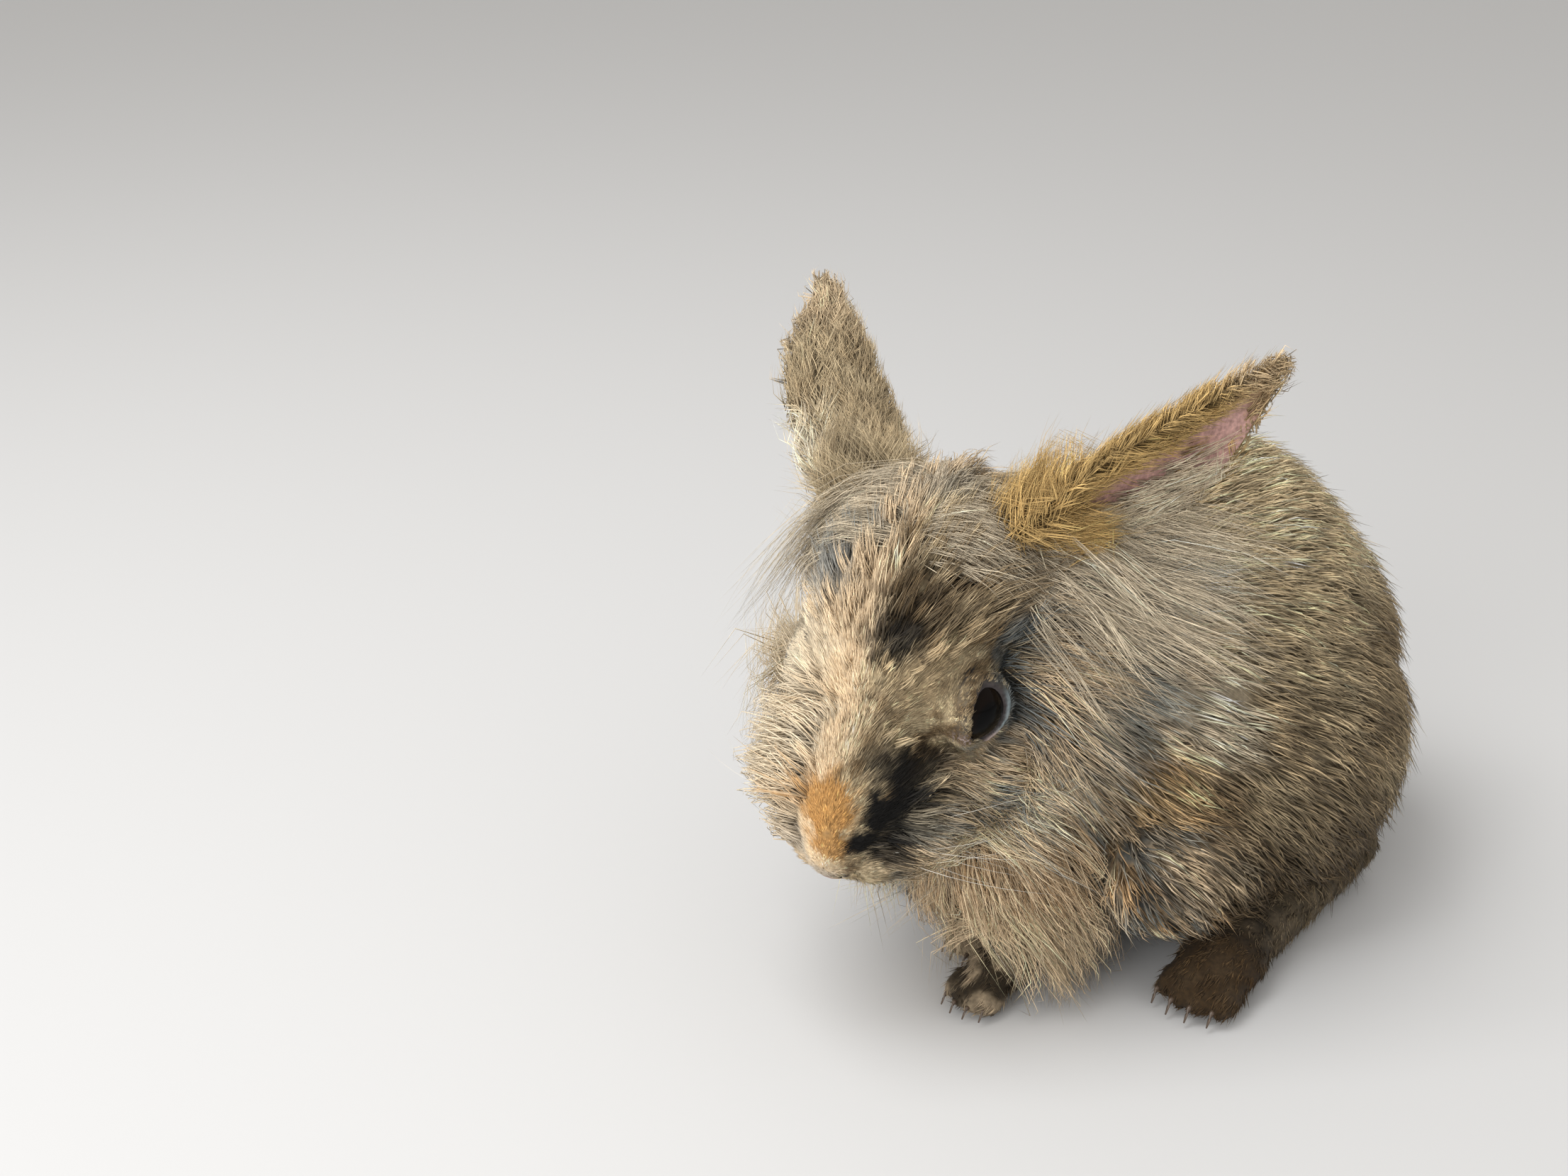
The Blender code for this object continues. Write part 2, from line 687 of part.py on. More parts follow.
def finish_surface(obj, surface):
    obj.data.materials.clear()
    obj.data.materials.append(surface)
    obj.data.shade_smooth()
    obj.data.set_sharp_from_angle(angle=math.radians(50))


def main():
    clear_scene()
    home = collection("lionhead_rabbit")
    helpers = collection("cutters")
    helpers.hide_render = True
    head = make_head(home, helpers)
    eyes = [make_eye("eye_left", 1, home), make_eye("eye_right", -1, home)]
    ears = [
        make_ear("ear_left", 1, EAR_LEFT_AIM, EAR_LEFT_OPENS, home),
        make_ear("ear_right", -1, EAR_RIGHT_AIM, EAR_RIGHT_OPENS, home),
    ]
    for ear in ears:
        clear_of(ear, helpers, head)
    forelegs = [
        make_foreleg("foreleg_left", FOREPAW_LEFT_AT, 1, home),
        make_foreleg("foreleg_right", FOREPAW_RIGHT_AT, -1, home),
    ]
    clear_of(forelegs[1], helpers, forelegs[0])
    left_leg, left_room = make_hind_leg("hind_leg_left", 1, home, helpers)
    right_leg, right_room = make_hind_leg("hind_leg_right", -1, home, helpers)
    rooms = [left_room, right_room]
    neck = make_neck(head, ears, forelegs, rooms, home, helpers)
    torso = make_torso(rooms, forelegs, home, helpers)
    tail = fuse("tail", [lump(TAIL_AT, TAIL, lean=TAIL_LEAN)], home, 0.0020, 3, 240)
    clear_of(tail, helpers, torso, left_leg, right_leg)
    legs = [*forelegs, left_leg, right_leg]
    draw = random.Random(SEED)
    ground = tree_of([head, neck, torso, *legs])
    others = tree_of([*ears, *eyes, neck, torso, *legs])
    locks = grow_locks(tree_of([head]), head_lock_plans(draw), ground, others, helpers)
    join_locks(head, locks)
    others = tree_of([head, *ears, *eyes, torso, *legs])
    locks = grow_locks(tree_of([neck]), neck_lock_plans(draw), ground, others, helpers)
    join_locks(neck, locks)
    parts = [head, neck, torso, tail, *eyes, *ears, *forelegs, left_leg, right_leg]
    stand_at_origin(parts)
    wet = material("eye_surface", EYE_COLOUR, EYE_ROUGHNESS)
    for obj in parts:
        kind = obj.name.replace("_left", "").replace("_right", "")
        if kind == "eye":
            finish_surface(obj, wet)
        else:
            finish_surface(obj, material(kind + "_fur", FUR_COLOURS[kind], FUR_ROUGHNESS))


main()
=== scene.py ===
"""The looks of the lionhead rabbit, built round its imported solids.

One skin follows the same lumps as the solids, but lies inside them by the coat's depth. The coat
is closed mesh tufts that are rooted in the skin and follow the lie of the fur. Guides are marched
over the skin, and each guide carries a clump of tufts. Skin and coat take their colours from one
function of place. Metres, +Z up, and the rabbit faces -Y, so that its left is +X.
"""

import math

import bmesh
import bpy
import numpy as np
from mathutils import Matrix, Vector
from mathutils.bvhtree import BVHTree


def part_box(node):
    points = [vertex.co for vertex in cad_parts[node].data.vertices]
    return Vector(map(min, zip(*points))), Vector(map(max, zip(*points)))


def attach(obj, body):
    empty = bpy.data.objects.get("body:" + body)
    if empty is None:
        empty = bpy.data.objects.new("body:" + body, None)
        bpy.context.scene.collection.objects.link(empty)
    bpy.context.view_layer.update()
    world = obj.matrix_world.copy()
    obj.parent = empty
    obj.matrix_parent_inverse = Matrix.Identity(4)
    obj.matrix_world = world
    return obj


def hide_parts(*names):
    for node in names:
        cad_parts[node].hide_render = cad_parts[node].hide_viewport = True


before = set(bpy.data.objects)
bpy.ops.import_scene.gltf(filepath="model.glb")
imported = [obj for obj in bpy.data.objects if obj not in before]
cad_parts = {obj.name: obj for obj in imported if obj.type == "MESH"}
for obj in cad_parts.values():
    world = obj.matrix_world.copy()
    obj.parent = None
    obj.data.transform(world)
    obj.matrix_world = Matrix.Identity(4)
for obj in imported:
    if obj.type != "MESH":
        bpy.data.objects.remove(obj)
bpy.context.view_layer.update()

# The head's frame, in which -Y runs to the nose, and the eyes in it
HEAD_TURN, HEAD_DIP, HEAD_ROLL = math.radians(10), math.radians(41), math.radians(3)
EYE_AT = Vector((0.019, -0.0035, 0.0042))
EYE_LOOKS = Vector((0.93, -0.3, 0.2)).normalized()
EYE_RADIUS, CORNEA_FROM, CORNEA_BULGE = 0.0084, 0.55, 0.05
LID_SLANT, LID_HALF = math.radians(-40), (0.0054, 0.0073)
LID_RADIUS, LID_SKIN_DEPTH, LID_END = 0.0098, 0.0004, 0.0135
OPENING_DEEP, LID_RISE, RIM_ROLL, LID_CREASE = 0.0014, 0.0023, 0.0008, 0.0003

# Nose and mouth in the head's frame: the nose's tip, a nostril, the lip's cleft and the mouth's ring
NOSE_TIP, NOSE_MIDDLE = np.array((0, -0.0515, -0.008)), Vector((0, -0.046, -0.008))
NOSTRIL, NOSTRIL_LEAN = np.array((0.0052, -0.0495, -0.006)), math.radians(40)
NOSTRIL_HALF, NOSTRIL_REACH, NOSTRIL_DEEP = (0.0024, 0.0008), (0.0026, 0.003, 0.0012), 0.0018
CLEFT_HALF, CLEFT_TOP, CLEFT_FOOT, CLEFT_DEEP = 0.0006, 0.0085, 0.0165, 0.001
MOUTH_AT, MOUTH_RADII, MOUTH_HALF, MOUTH_DEEP = (0, -0.03, -0.0165), (0.0128, 0.0165), 0.0007, 0.0009

# Where the solids stood before they were set on the middle of their box
HEAD_AT = Vector((-0.0185, -0.072, 0.0856))
HEAD_TURNED = (
    Matrix.Rotation(HEAD_TURN, 4, "Z")
    @ Matrix.Rotation(HEAD_DIP, 4, "X")
    @ Matrix.Rotation(HEAD_ROLL, 4, "Y")
)
EYE_NOW = sum(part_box("eye_left"), Vector()) / 2
SHIFT = EYE_NOW - (Matrix.Translation(HEAD_AT) @ HEAD_TURNED @ EYE_AT)
HEAD = Matrix.Translation(HEAD_AT + SHIFT) @ HEAD_TURNED
ROW = Matrix.Translation(SHIFT)

# Lumps: middle, half sizes and lean about X in degrees. The face's and cheeks' are in the head's
# frame, the others in the row's, and each depth says how far the skin lies inside the solids
TRUNK_DEPTH, NECK_DEPTH, HAUNCH_DEPTH, FOOT_DEPTH = 0.0075, 0.005, 0.006, 0.0016
FACE_DEPTH, CHEEK_DEPTH, TAIL_DEPTH = 0.0016, 0.0035, 0.005
TRUNK = [
    ((0.0, 0.006, 0.066), (0.053, 0.068, 0.055), 0),
    ((0.0, 0.022, 0.073), (0.05, 0.056, 0.055), -8),
    ((0.0, 0.048, 0.06), (0.049, 0.044, 0.048), 20),
    ((-0.006, -0.03, 0.058), (0.04, 0.036, 0.042), 0),
    ((0.028, -0.008, 0.033), (0.025, 0.044, 0.028), 0),
    ((-0.028, -0.008, 0.033), (0.025, 0.044, 0.028), 0),
]
NECK = [
    ((-0.012, -0.036, 0.084), (0.034, 0.034, 0.034), 0),
    ((-0.014, -0.041, 0.078), (0.035, 0.022, 0.037), -24),
    ((-0.008, -0.047, 0.045), (0.029, 0.022, 0.026), 0),
]
FACE = [
    ((0, 0.013, 0.006), (0.024, 0.036, 0.0255), 0),
    ((0, -0.019, 0.001), (0.015, 0.031, 0.0175), 8),
    ((0, -0.043, -0.004), (0.0085, 0.0088, 0.0105), 0),
    ((0, -0.029, -0.019), (0.0095, 0.015, 0.0075), 0),
]
FACE_PAIRS = [
    ((0.0068, -0.0365, -0.0095), (0.0092, 0.0125, 0.0095), 0),
    ((0.009, -0.018, -0.008), (0.0115, 0.024, 0.015), 0),
    ((0.0115, 0.001, 0.01), (0.011, 0.017, 0.01), 0),
]
CHEEKS = [((0, 0.006, -0.017), (0.018, 0.028, 0.016), 0)]
CHEEK_PAIRS = [((0.014, 0.001, -0.011), (0.0165, 0.025, 0.019), 0)]
HAUNCH = ((0.036, 0.023, 0.046), (0.025, 0.045, 0.04), -18)
TAIL = ((0.0, 0.09, 0.04), (0.0145, 0.015, 0.019), 25)
HIND_TOES, HIND_HEEL = Vector((0.043, -0.02, 0.008)), Vector((0.038, 0.05, 0.01))
FOREPAWS = ((1, Vector((0.003, -0.058, 0.0072))), (-1, Vector((-0.011, -0.04, 0.0072))))
HIND_FOOT, FORE_FOOT = (0.012, 0.016, 0.0085), (0.0082, 0.014, 0.0082)
SKIN_CELL, FLOOR_CLEAR = 0.0013, 0.0004

# Toes and claws: how far apart the toes are, how much shorter the outer ones, and how far they reach
TOES, TOE_DROP = 4, 0.0025
HIND_TOE, HIND_TOE_DEPTH = (0.0034, 0.0075, 0.0052), 0.0008
FORE_TOE, FORE_TOE_DEPTH = (0.0026, 0.0052, 0.0044), 0.0006
HIND_TOE_GAP, HIND_TOE_CURVE, HIND_TOE_REACH, HIND_CLAW_REACH = 0.0052, 0.0018, 0.013, 0.0205
FORE_TOE_GAP, FORE_TOE_CURVE, FORE_TOE_REACH, FORE_CLAW_REACH = 0.0038, 0.0016, 0.012, 0.0166

# Ears: which way each aims and opens, in the row's frame
EAR_AIM = {"left": Vector((0.52, 0.74, 0.47)), "right": Vector((-0.75, 0.53, 0.44))}
EAR_OPENS = {"left": Vector((0.75, -0.45, -0.35)), "right": Vector((-0.5, 0.05, -0.75))}
EAR_SKIN_DEPTH = 0.0005
ROOT_TUFTS = {"left": 130, "right": 60}

# Coat colours, as linear light
CREAM = np.array((0.78, 0.6, 0.39))
WHITE = np.array((0.8, 0.68, 0.5))
ORANGE = np.array((0.55, 0.3, 0.1))
GOLD = np.array((0.64, 0.43, 0.17))
TAN = np.array((0.55, 0.42, 0.25))
BROWN = np.array((0.115, 0.078, 0.04))
GREY = np.array((0.29, 0.3, 0.275))
BLUE_GREY = np.array((0.13, 0.145, 0.145))
BLACK = np.array((0.01, 0.009, 0.008))
FAWN = np.array((0.6, 0.48, 0.3))
PINK = np.array((0.66, 0.4, 0.36))
CROWN = (0.52, 0.44, 0.32)
DARK_TIP = (0.045, 0.036, 0.028)
# The lids' dark colour is painted shade, for the upper side of their ring, which the fur above shadows
LID_PAINTED_SHADE, LID_PALE, LID_CORNER = (0.03, 0.028, 0.028), (0.24, 0.29, 0.31), (0.42, 0.34, 0.33)
# The nostrils' near-black colour is painted shade inside the slits
LID_RIM, NOSE_SKIN, NOSTRIL_PAINTED_SHADE = (0.05, 0.042, 0.042), (0.34, 0.2, 0.17), (0.015, 0.01, 0.01)
EYE_DARK, IRIS = (0.002, 0.002, 0.002), (0.005, 0.003, 0.002)

# Patches on the head: a colour, then the middle, reach and strength of each patch that has it, in
# the head's frame in millimetres. Later ones lie over earlier ones
PATCHES = [
    (CREAM, (-5, -1, 28, 9, 1.0), (-4, 12, 33, 7, 0.8), (-3, -18, 19, 9, 0.9)),
    (WHITE, (-11, -23, 12, 9, 0.9), (-14, -8, 16, 11, 0.7)),
    (ORANGE, (0.5, -39, 10, 8.0, 1.0), (2, -45, 5, 5.0, 0.9)),
    ((0.6, 0.51, 0.39), (-7, -46, -3, 5.5, 0.9)),
    ((0.55, 0.47, 0.37), (0, -50, -3, 3.0, 0.9)),
    (WHITE, (0, -50, -12, 5.5, 0.6)),
    (BLACK, (11.5, -35, 4, 7.5, 1.0), (8.0, -42, 2, 4.5, 1.0), (10, -41, -3, 4.0, 0.9),
     (11, -26, 11, 6.5, 0.85), (15, -26, 6, 7.5, 0.9), (17, -20, 5, 6.0, 0.6)),
    (GREY, (22, -15, 0, 4.0, 0.8)),
    (FAWN, (9, -21, 16, 6.0, 0.6)),
    (TAN, (10, -11, 21, 6.0, 0.7)),
    (BLACK, (8, -1, 29, 8.5, 0.95)),
    (BROWN, (8, 5, 31, 8.0, 1.0), (15, 3, 29, 9.0, 0.85)),
    (TAN * 0.6, (20, 8, 25, 8.0, 0.9)),
    (BROWN, (13, 15, 29, 8.0, 0.8)),
    (TAN, (18, -8, 20, 4.5, 0.9)),
    (BROWN, (22, 20, 19, 9.0, 0.7)),
    (TAN, (16, -4, 21, 6.0, 0.9)),
    (BLUE_GREY, (25, 8, 7, 6.0, 0.8), (27, 3, 0, 9.0, 0.95), (32, 9, 0, 10.0, 0.9),
     (29, 14, 7, 10.0, 0.85), (33, 0, -7, 10.0, 0.6)),
    ((0.24, 0.25, 0.24), (-18, 12, 27, 12.0, 0.9)),
    (GREY, (-12, 20, 30, 7.0, 0.8), (1, 35, 26, 9.0, 0.5)),
]

# Patches of the mane and beard, in the row's frame in millimetres, in the same way
MANE_PATCHES = [
    (WHITE * 1.15, (20, -22, 106, 16.0, 1.0)),
    (WHITE, (38, -28, 78, 14.0, 0.8)),
    (CREAM, (26, -35, 95, 12.0, 0.8)),
    ((0.3, 0.33, 0.32), (13, -37, 102, 9.0, 0.8)),
    ((0.24, 0.26, 0.24), (22, -46, 86, 13.0, 0.9)),
    ((0.62, 0.42, 0.2), (34, -38, 60, 12.0, 0.7)),
    (CREAM, (-2, -66, 38, 16.0, 0.9), (10, -57, 40, 12.0, 0.9)),
]

# The photo's camera, before the shift, and its lens for the photo's 2212 pixels of width
PHOTO_WIDTH, FOCAL_PIXELS, SENSOR = 2212, 3000.0, 36.0
CAMERA_AT = Vector((0.2595, -0.4224, 0.307))
CAMERA_AZIMUTH, CAMERA_ELEVATION = math.radians(42), math.radians(24)

# Fur lengths in millimetres: each part's shortest, and what is added on the way to its longest
NOSE_FUR, BRIDGE_ADDS, BROW_ADDS = 2.0, 2.6, 3.4
LIP_FUR, CHEEK_ADDS, RIGHT_CHEEK_ADDS, BEARD_ADDS = 7.0, 15.0, 9.0, 10.0
BEHIND_FUR, TAIL_FUR, BELLY_FUR, BACK_ADDS = 24.0, 13.0, 10.5, 3.5
FOOT_FUR, LEG_ADDS, RUFF_FUR, LOW_RUFF_ADDS = 4.0, 9.0, 27.0, 7.0
EYE_FUR, EYE_CLEAR, EYE_SLOPE, EYE_SHARE = 2.8, 11.5, 1.9, 0.38

# Ways that the fur lies in the head's frame, on its left, and where the body's and ruff's fur parts
FACE_LIE, CHEEK_LIE, CHIN_LIE = (0.45, 1, 0.1), (0.8, 0.1, -0.45), (0.1, 0.05, -0.95)
MANE_LIE, CROWN_LEFT, CROWN_RIGHT = (0.75, 0.35, -0.38), (0.92, 0.05, -0.5), (-0.9, -0.05, 0.2)
BODY_PARTING, RUFF_PARTING = Vector((-0.012, -0.06, 0.08)), Vector((0, 0.004, -0.004))

# Tufts: how they taper, sink in and clear the floor, how a clump's tufts differ in length and stray,
# how many hairs are drawn on a millimetre, and how wide the map's tiles and a tuft's place on them are
TAPER, ROOT_SUNK, TIP_CLEAR = 0.75, 0.0004, 0.0006
CLUMP_SHORTEST, CLUMP_LONGEST, STRAY, CLUMP_LIFT, LEAST = 0.7, 1.05, 0.35, (-0.15, 0.25), 1e-12
HAIRS_PER_MM, HAIRS_ALONG, BRIGHTEST = 5.0, 0.25, 0.92
MAP_HALF_WIDTH, UV_PATCH = 0.13, 0.003
SEED = 5

# Whiskers and claws: the claws' radii run from root to tip
WHISKER_ROWS, WHISKER_STATIONS, WHISKER_RADIUS = 3, 7, 0.00009
WHISKER_COLOUR, CLAW_COLOUR = (0.72, 0.68, 0.6), (0.1, 0.07, 0.05)
HIND_CLAW, FORE_CLAW = (0.0008, 0.0007, 0.0004, 0.0002), (0.0006, 0.0005, 0.0003, 0.0002)

# The room: lamps as name, place, size and power
FLOOR_SIZE, FLOOR_COLOUR, LAMPS_AIM = 60.0, (0.56, 0.56, 0.56, 1), Vector((0, -0.02, 0.07))
ROOM_LIGHT = {"Color": (1.0, 0.975, 0.94, 1), "Strength": 0.72}
LAMPS = (("key", (-0.25, -0.45, 1.05), 0.7, 9.0), ("fill", (0.2, -1.0, 0.45), 0.6, 6.0))


def norms(vectors):
    return np.linalg.norm(vectors, axis=-1)


def unit(vectors):
    return vectors / np.maximum(norms(vectors)[..., None], 1e-9)


def flatten(vectors, normals):
    """The vectors' parts along the surface, as unit vectors."""
    along = np.sum(vectors * normals, axis=-1, keepdims=True)
    return unit(vectors - along * normals)


def step_up(value, low, high):
    """0 below low, 1 above high, and smooth between."""
    t = np.clip((value - low) / (high - low), 0, 1)
    return t * t * (3 - 2 * t)


def step_down(value, low, high):
    return 1 - step_up(value, low, high)


def sided(vector, side):
    return Vector((vector.x * side, vector.y, vector.z))


def head_turn():
    return np.array(HEAD.to_3x3(), float)


def in_head(points):
    """Points of the row in the head's frame."""
    return (points - np.array(HEAD.translation)) @ head_turn()


def head_mm(points):
    return in_head(points) * 1000


def row_mm(points):
    """Points in millimetres, in the row's frame before the shift."""
    return (points - np.array(SHIFT)) * 1000


def from_head(vectors):
    return vectors @ head_turn().T


def waves(points, size, seed):
    """Smooth noise from -1 to 1, as a sum of a few turned waves of about that size."""
    draw = np.random.default_rng(seed)
    total = np.zeros(len(points))
    for _ in range(7):
        way = unit(draw.normal(size=3))
        total += np.sin(points @ way * (2 * math.pi / size) * draw.uniform(0.6, 1.6) + draw.uniform(0, 6.28))
    return np.clip(total / 3.2, -1, 1)


def mirrored(lumps):
    return [((x * side, y, z), radii, lean) for (x, y, z), radii, lean in lumps for side in (1, -1)]


def lump_matrix(lump, depth, place):
    centre, radii, lean = lump
    shape = Matrix.Diagonal((*(radius - depth for radius in radii), 1.0))
    return place @ Matrix.Translation(centre) @ Matrix.Rotation(math.radians(lean), 4, "X") @ shape


def string_of(start, end, thick_start, thick_end, count, depth):
    """Balls in a row that run from one thickness to another."""
    made = []
    for t in (i / (count - 1) for i in range(count)):
        radius = thick_start + (thick_end - thick_start) * t
        made.append(lump_matrix((start.lerp(end, t), (radius,) * 3, 0), depth, ROW))
    return made


def toe_places():
    """The toes' places across a foot, in steps from its middle."""
    return [toe - (TOES - 1) / 2 for toe in range(TOES)]


def leg_lumps():
    """Feet, toes and lower legs. The haunches belong to the trunk."""
    made = []
    for side in (1, -1):
        toes, heel = sided(HIND_TOES, side), sided(HIND_HEEL, side)
        made += string_of(heel, toes, 0.011, 0.01, 9, FOOT_DEPTH)
        made.append(lump_matrix((toes, HIND_FOOT, 0), FOOT_DEPTH, ROW))
        ahead = (toes - heel).normalized()
        for toe in toe_places():
            reach = HIND_TOE_REACH - HIND_TOE_CURVE * abs(toe)
            tip = toes + ahead * reach + Vector((toe * HIND_TOE_GAP, 0, -TOE_DROP))
            made.append(lump_matrix((tip, HIND_TOE, 0), HIND_TOE_DEPTH, ROW))
    for side, paw in FOREPAWS:
        made.append(lump_matrix((paw, FORE_FOOT, 0), FOOT_DEPTH, ROW))
        for toe in toe_places():
            reach = FORE_TOE_REACH - FORE_TOE_CURVE * abs(toe)
            tip = paw + Vector((toe * FORE_TOE_GAP, -reach, -TOE_DROP))
            made.append(lump_matrix((tip, FORE_TOE, 0), FORE_TOE_DEPTH, ROW))
        wrist = paw + Vector((0, 0.009, 0.006))
        elbow = paw + Vector((0.006 * side, 0.026, 0.03))
        made += string_of(wrist, elbow, 0.0088, 0.012, 5, FOOT_DEPTH)
    return made


def placed(lumps, depth, place):
    return [lump_matrix(one, depth, place) for one in lumps]


def lump_groups():
    """Every lump of the skin by the part of the body that it belongs to."""
    lids = mirrored([(tuple(EYE_AT), (LID_RADIUS,) * 3, 0)])
    return {
        "trunk": placed(TRUNK, TRUNK_DEPTH, ROW) + placed(mirrored([HAUNCH]), HAUNCH_DEPTH, ROW),
        "neck": placed(NECK, NECK_DEPTH, ROW),
        "head": placed(FACE + mirrored(FACE_PAIRS), FACE_DEPTH, HEAD)
        + placed(CHEEKS + mirrored(CHEEK_PAIRS), CHEEK_DEPTH, HEAD)
        + placed(lids, LID_SKIN_DEPTH, HEAD),
        "tail": placed([TAIL], TAIL_DEPTH, ROW),
        "leg": leg_lumps(),
    }


GROUPS = lump_groups()


def closeness(points, group):
    """How deep in the group's nearest lump each point is: 1 on its surface, less inside."""
    best = np.full(len(points), 1e9)
    for matrix in GROUPS[group]:
        inverse = np.array(matrix.inverted(), float)
        local = points @ inverse[:3, :3].T + inverse[:3, 3]
        best = np.minimum(best, norms(local))
    return best


def share_of(points, group):
    """1 where the group's lumps make the surface, 0 where the others do."""
    own = closeness(points, group)
    rest = np.min([closeness(points, other) for other in GROUPS if other != group], axis=0)
    return step_up(rest - own, -0.04, 0.06)


def read(items, field, width=1, kind=float):
    """A field of a mesh's parts as an array, with a row for each part."""
    values = np.zeros(len(items) * width, kind)
    items.foreach_get(field, values)
    return values.reshape(-1, width) if width > 1 else values


def mesh_arrays(mesh):
    mesh.calc_loop_triangles()
    corners = read(mesh.loop_triangles, "vertices", 3, int)
    return read(mesh.vertices, "co", 3), read(mesh.vertices, "normal", 3), corners


class Surface:
    """A skin's points, normals and triangles, and a search tree over them."""

    def __init__(self, obj):
        self.points, self.normals, self.corners = mesh_arrays(obj.data)
        self.tree = BVHTree.FromPolygons(self.points.tolist(), self.corners.tolist())
        a, b, c = (self.points[self.corners[:, i]] for i in range(3))
        self.areas = norms(np.cross(b - a, c - a)) / 2

    def scatter(self, weights, count, draw):
        """Seeded points over the surface, as thick as the points' weights say."""
        chance = self.areas * weights[self.corners].mean(axis=1)
        picked = draw.choice(len(chance), size=count, p=chance / chance.sum())
        u, v = np.sqrt(draw.random(count)), draw.random(count)
        share = np.stack([1 - u, u * (1 - v), u * v], axis=1)[:, :, None]
        points = (self.points[self.corners[picked]] * share).sum(axis=1)
        normals = unit((self.normals[self.corners[picked]] * share).sum(axis=1))
        return points, normals

    def nearest(self, points):
        found = [self.tree.find_nearest(point) for point in points.tolist()]
        return np.array([f[0] for f in found]), np.array([f[1] for f in found])


def bake(obj):
    graph = bpy.context.evaluated_depsgraph_get()
    mesh = bpy.data.meshes.new_from_object(obj.evaluated_get(graph))
    obj.modifiers.clear()
    obj.data = mesh


def new_object(name, data):
    obj = bpy.data.objects.new(name, data)
    bpy.context.scene.collection.objects.link(obj)
    return obj


def refine(bm, centre, reach):
    """Halves the faces within reach of the centre."""
    near = [face for face in bm.faces if (face.calc_center_median() - centre).length < reach]
    edges = {edge for face in near for edge in face.edges}
    bmesh.ops.subdivide_edges(bm, edges=list(edges), cuts=1, use_grid_fill=True)


def lump_mesh():
    """Every lump of the skin as a ball of its own, in one mesh."""
    bm = bmesh.new()
    bmesh.ops.create_uvsphere(bm, u_segments=40, v_segments=24, radius=1.0)
    ball = np.array([vert.co for vert in bm.verts])
    faces = [[vert.index for vert in face.verts] for face in bm.faces]
    bm.free()
    points, polygons = [], []
    for matrix in [one for group in GROUPS.values() for one in group]:
        turn = np.array(matrix, float)
        polygons += [[corner + len(points) * len(ball) for corner in face] for face in faces]
        points.append(ball @ turn[:3, :3].T + turn[:3, 3])
    mesh = bpy.data.meshes.new("skin")
    mesh.from_pydata(np.concatenate(points).tolist(), [], polygons)
    return mesh


def make_skin():
    """The lumps fused to one skin, made finer at nose and eyes, with lids, nostrils and mouth."""
    skin = new_object("skin", lump_mesh())
    fuse = skin.modifiers.new("Fuse", "REMESH")
    fuse.mode, fuse.voxel_size = "VOXEL", SKIN_CELL
    smooth = skin.modifiers.new("Soften", "SMOOTH")
    smooth.factor, smooth.iterations = 0.5, 5
    bake(skin)
    bm = bmesh.new()
    bm.from_mesh(skin.data)
    for reach in (0.017, 0.012):
        refine(bm, HEAD @ NOSE_MIDDLE, reach)
        for side in (1, -1):
            refine(bm, HEAD @ sided(EYE_AT, side), reach)
    bm.to_mesh(skin.data)
    bm.free()
    points, _, _ = mesh_arrays(skin.data)
    for side in (1, -1):
        points = shape_lids(points, side)
    points = shape_muzzle(points)
    points[:, 2] = np.maximum(points[:, 2], FLOOR_CLEAR)
    skin.data.vertices.foreach_set("co", points.ravel())
    skin.data.update()
    skin.data.shade_smooth()
    return skin


def eye_axes(side):
    """The eye's middle, and a matrix whose last column looks out of it and whose others span the lids."""
    looks = sided(EYE_LOOKS, side)
    turn = looks.to_track_quat("Z", "Y").to_matrix() @ Matrix.Rotation(LID_SLANT * side, 3, "Z")
    centre = HEAD @ sided(EYE_AT, side)
    return np.array(centre, float), np.array(HEAD.to_3x3() @ turn, float)


def lid_reach(points, side):
    """Distance from the eye's middle, and the share of the way to the lids' rim, over 1 outside it."""
    centre, axes = eye_axes(side)
    local = (points - centre) @ axes
    far = norms(local)
    across = np.hypot(local[:, 0] / LID_HALF[0], local[:, 1] / LID_HALF[1])
    across = np.where(local[:, 2] > 0, across, 9.0)
    return far, across


def eye_mm(points, side):
    """Points in millimetres from the eye's middle, along the head's axes."""
    return (in_head(points) - np.array(EYE_AT) * (side, 1, 1)) * 1000


def from_nostril(points):
    """Ways from the nostril on each point's own side, in the head's frame."""
    local = in_head(points)
    local[:, 0] = np.abs(local[:, 0])
    return local - NOSTRIL


def from_nose(points):
    return norms(in_head(points) - NOSE_TIP)


def bare_side(points, side):
    """1 on the hind and lower side of the eye, where a pale rim shows, and 0 on the other."""
    local = eye_mm(points, side)
    return step_up(0.5 * local[:, 1] - 0.8 * local[:, 2], 0.0, 3.0)


def shape_lids(points, side):
    """Opens the almond between the lids, and gives the lids a rolled rim and a crease."""
    far, across = lid_reach(points, side)
    centre, _ = eye_axes(side)
    rim = EYE_RADIUS - OPENING_DEEP + LID_RISE * step_up(across, 0.9, 1.08)
    rim = rim + RIM_ROLL * np.exp(-(((across - 1.22) / 0.13) ** 2))
    rim = rim - LID_CREASE * np.exp(-(((across - 1.5) / 0.08) ** 2))
    share = step_down(across, 1.55, 2.0) * step_down(far, 0.0125, 0.015)
    radius = far + (rim - far) * share
    return centre + (points - centre) * (radius / np.maximum(far, 1e-9))[:, None]


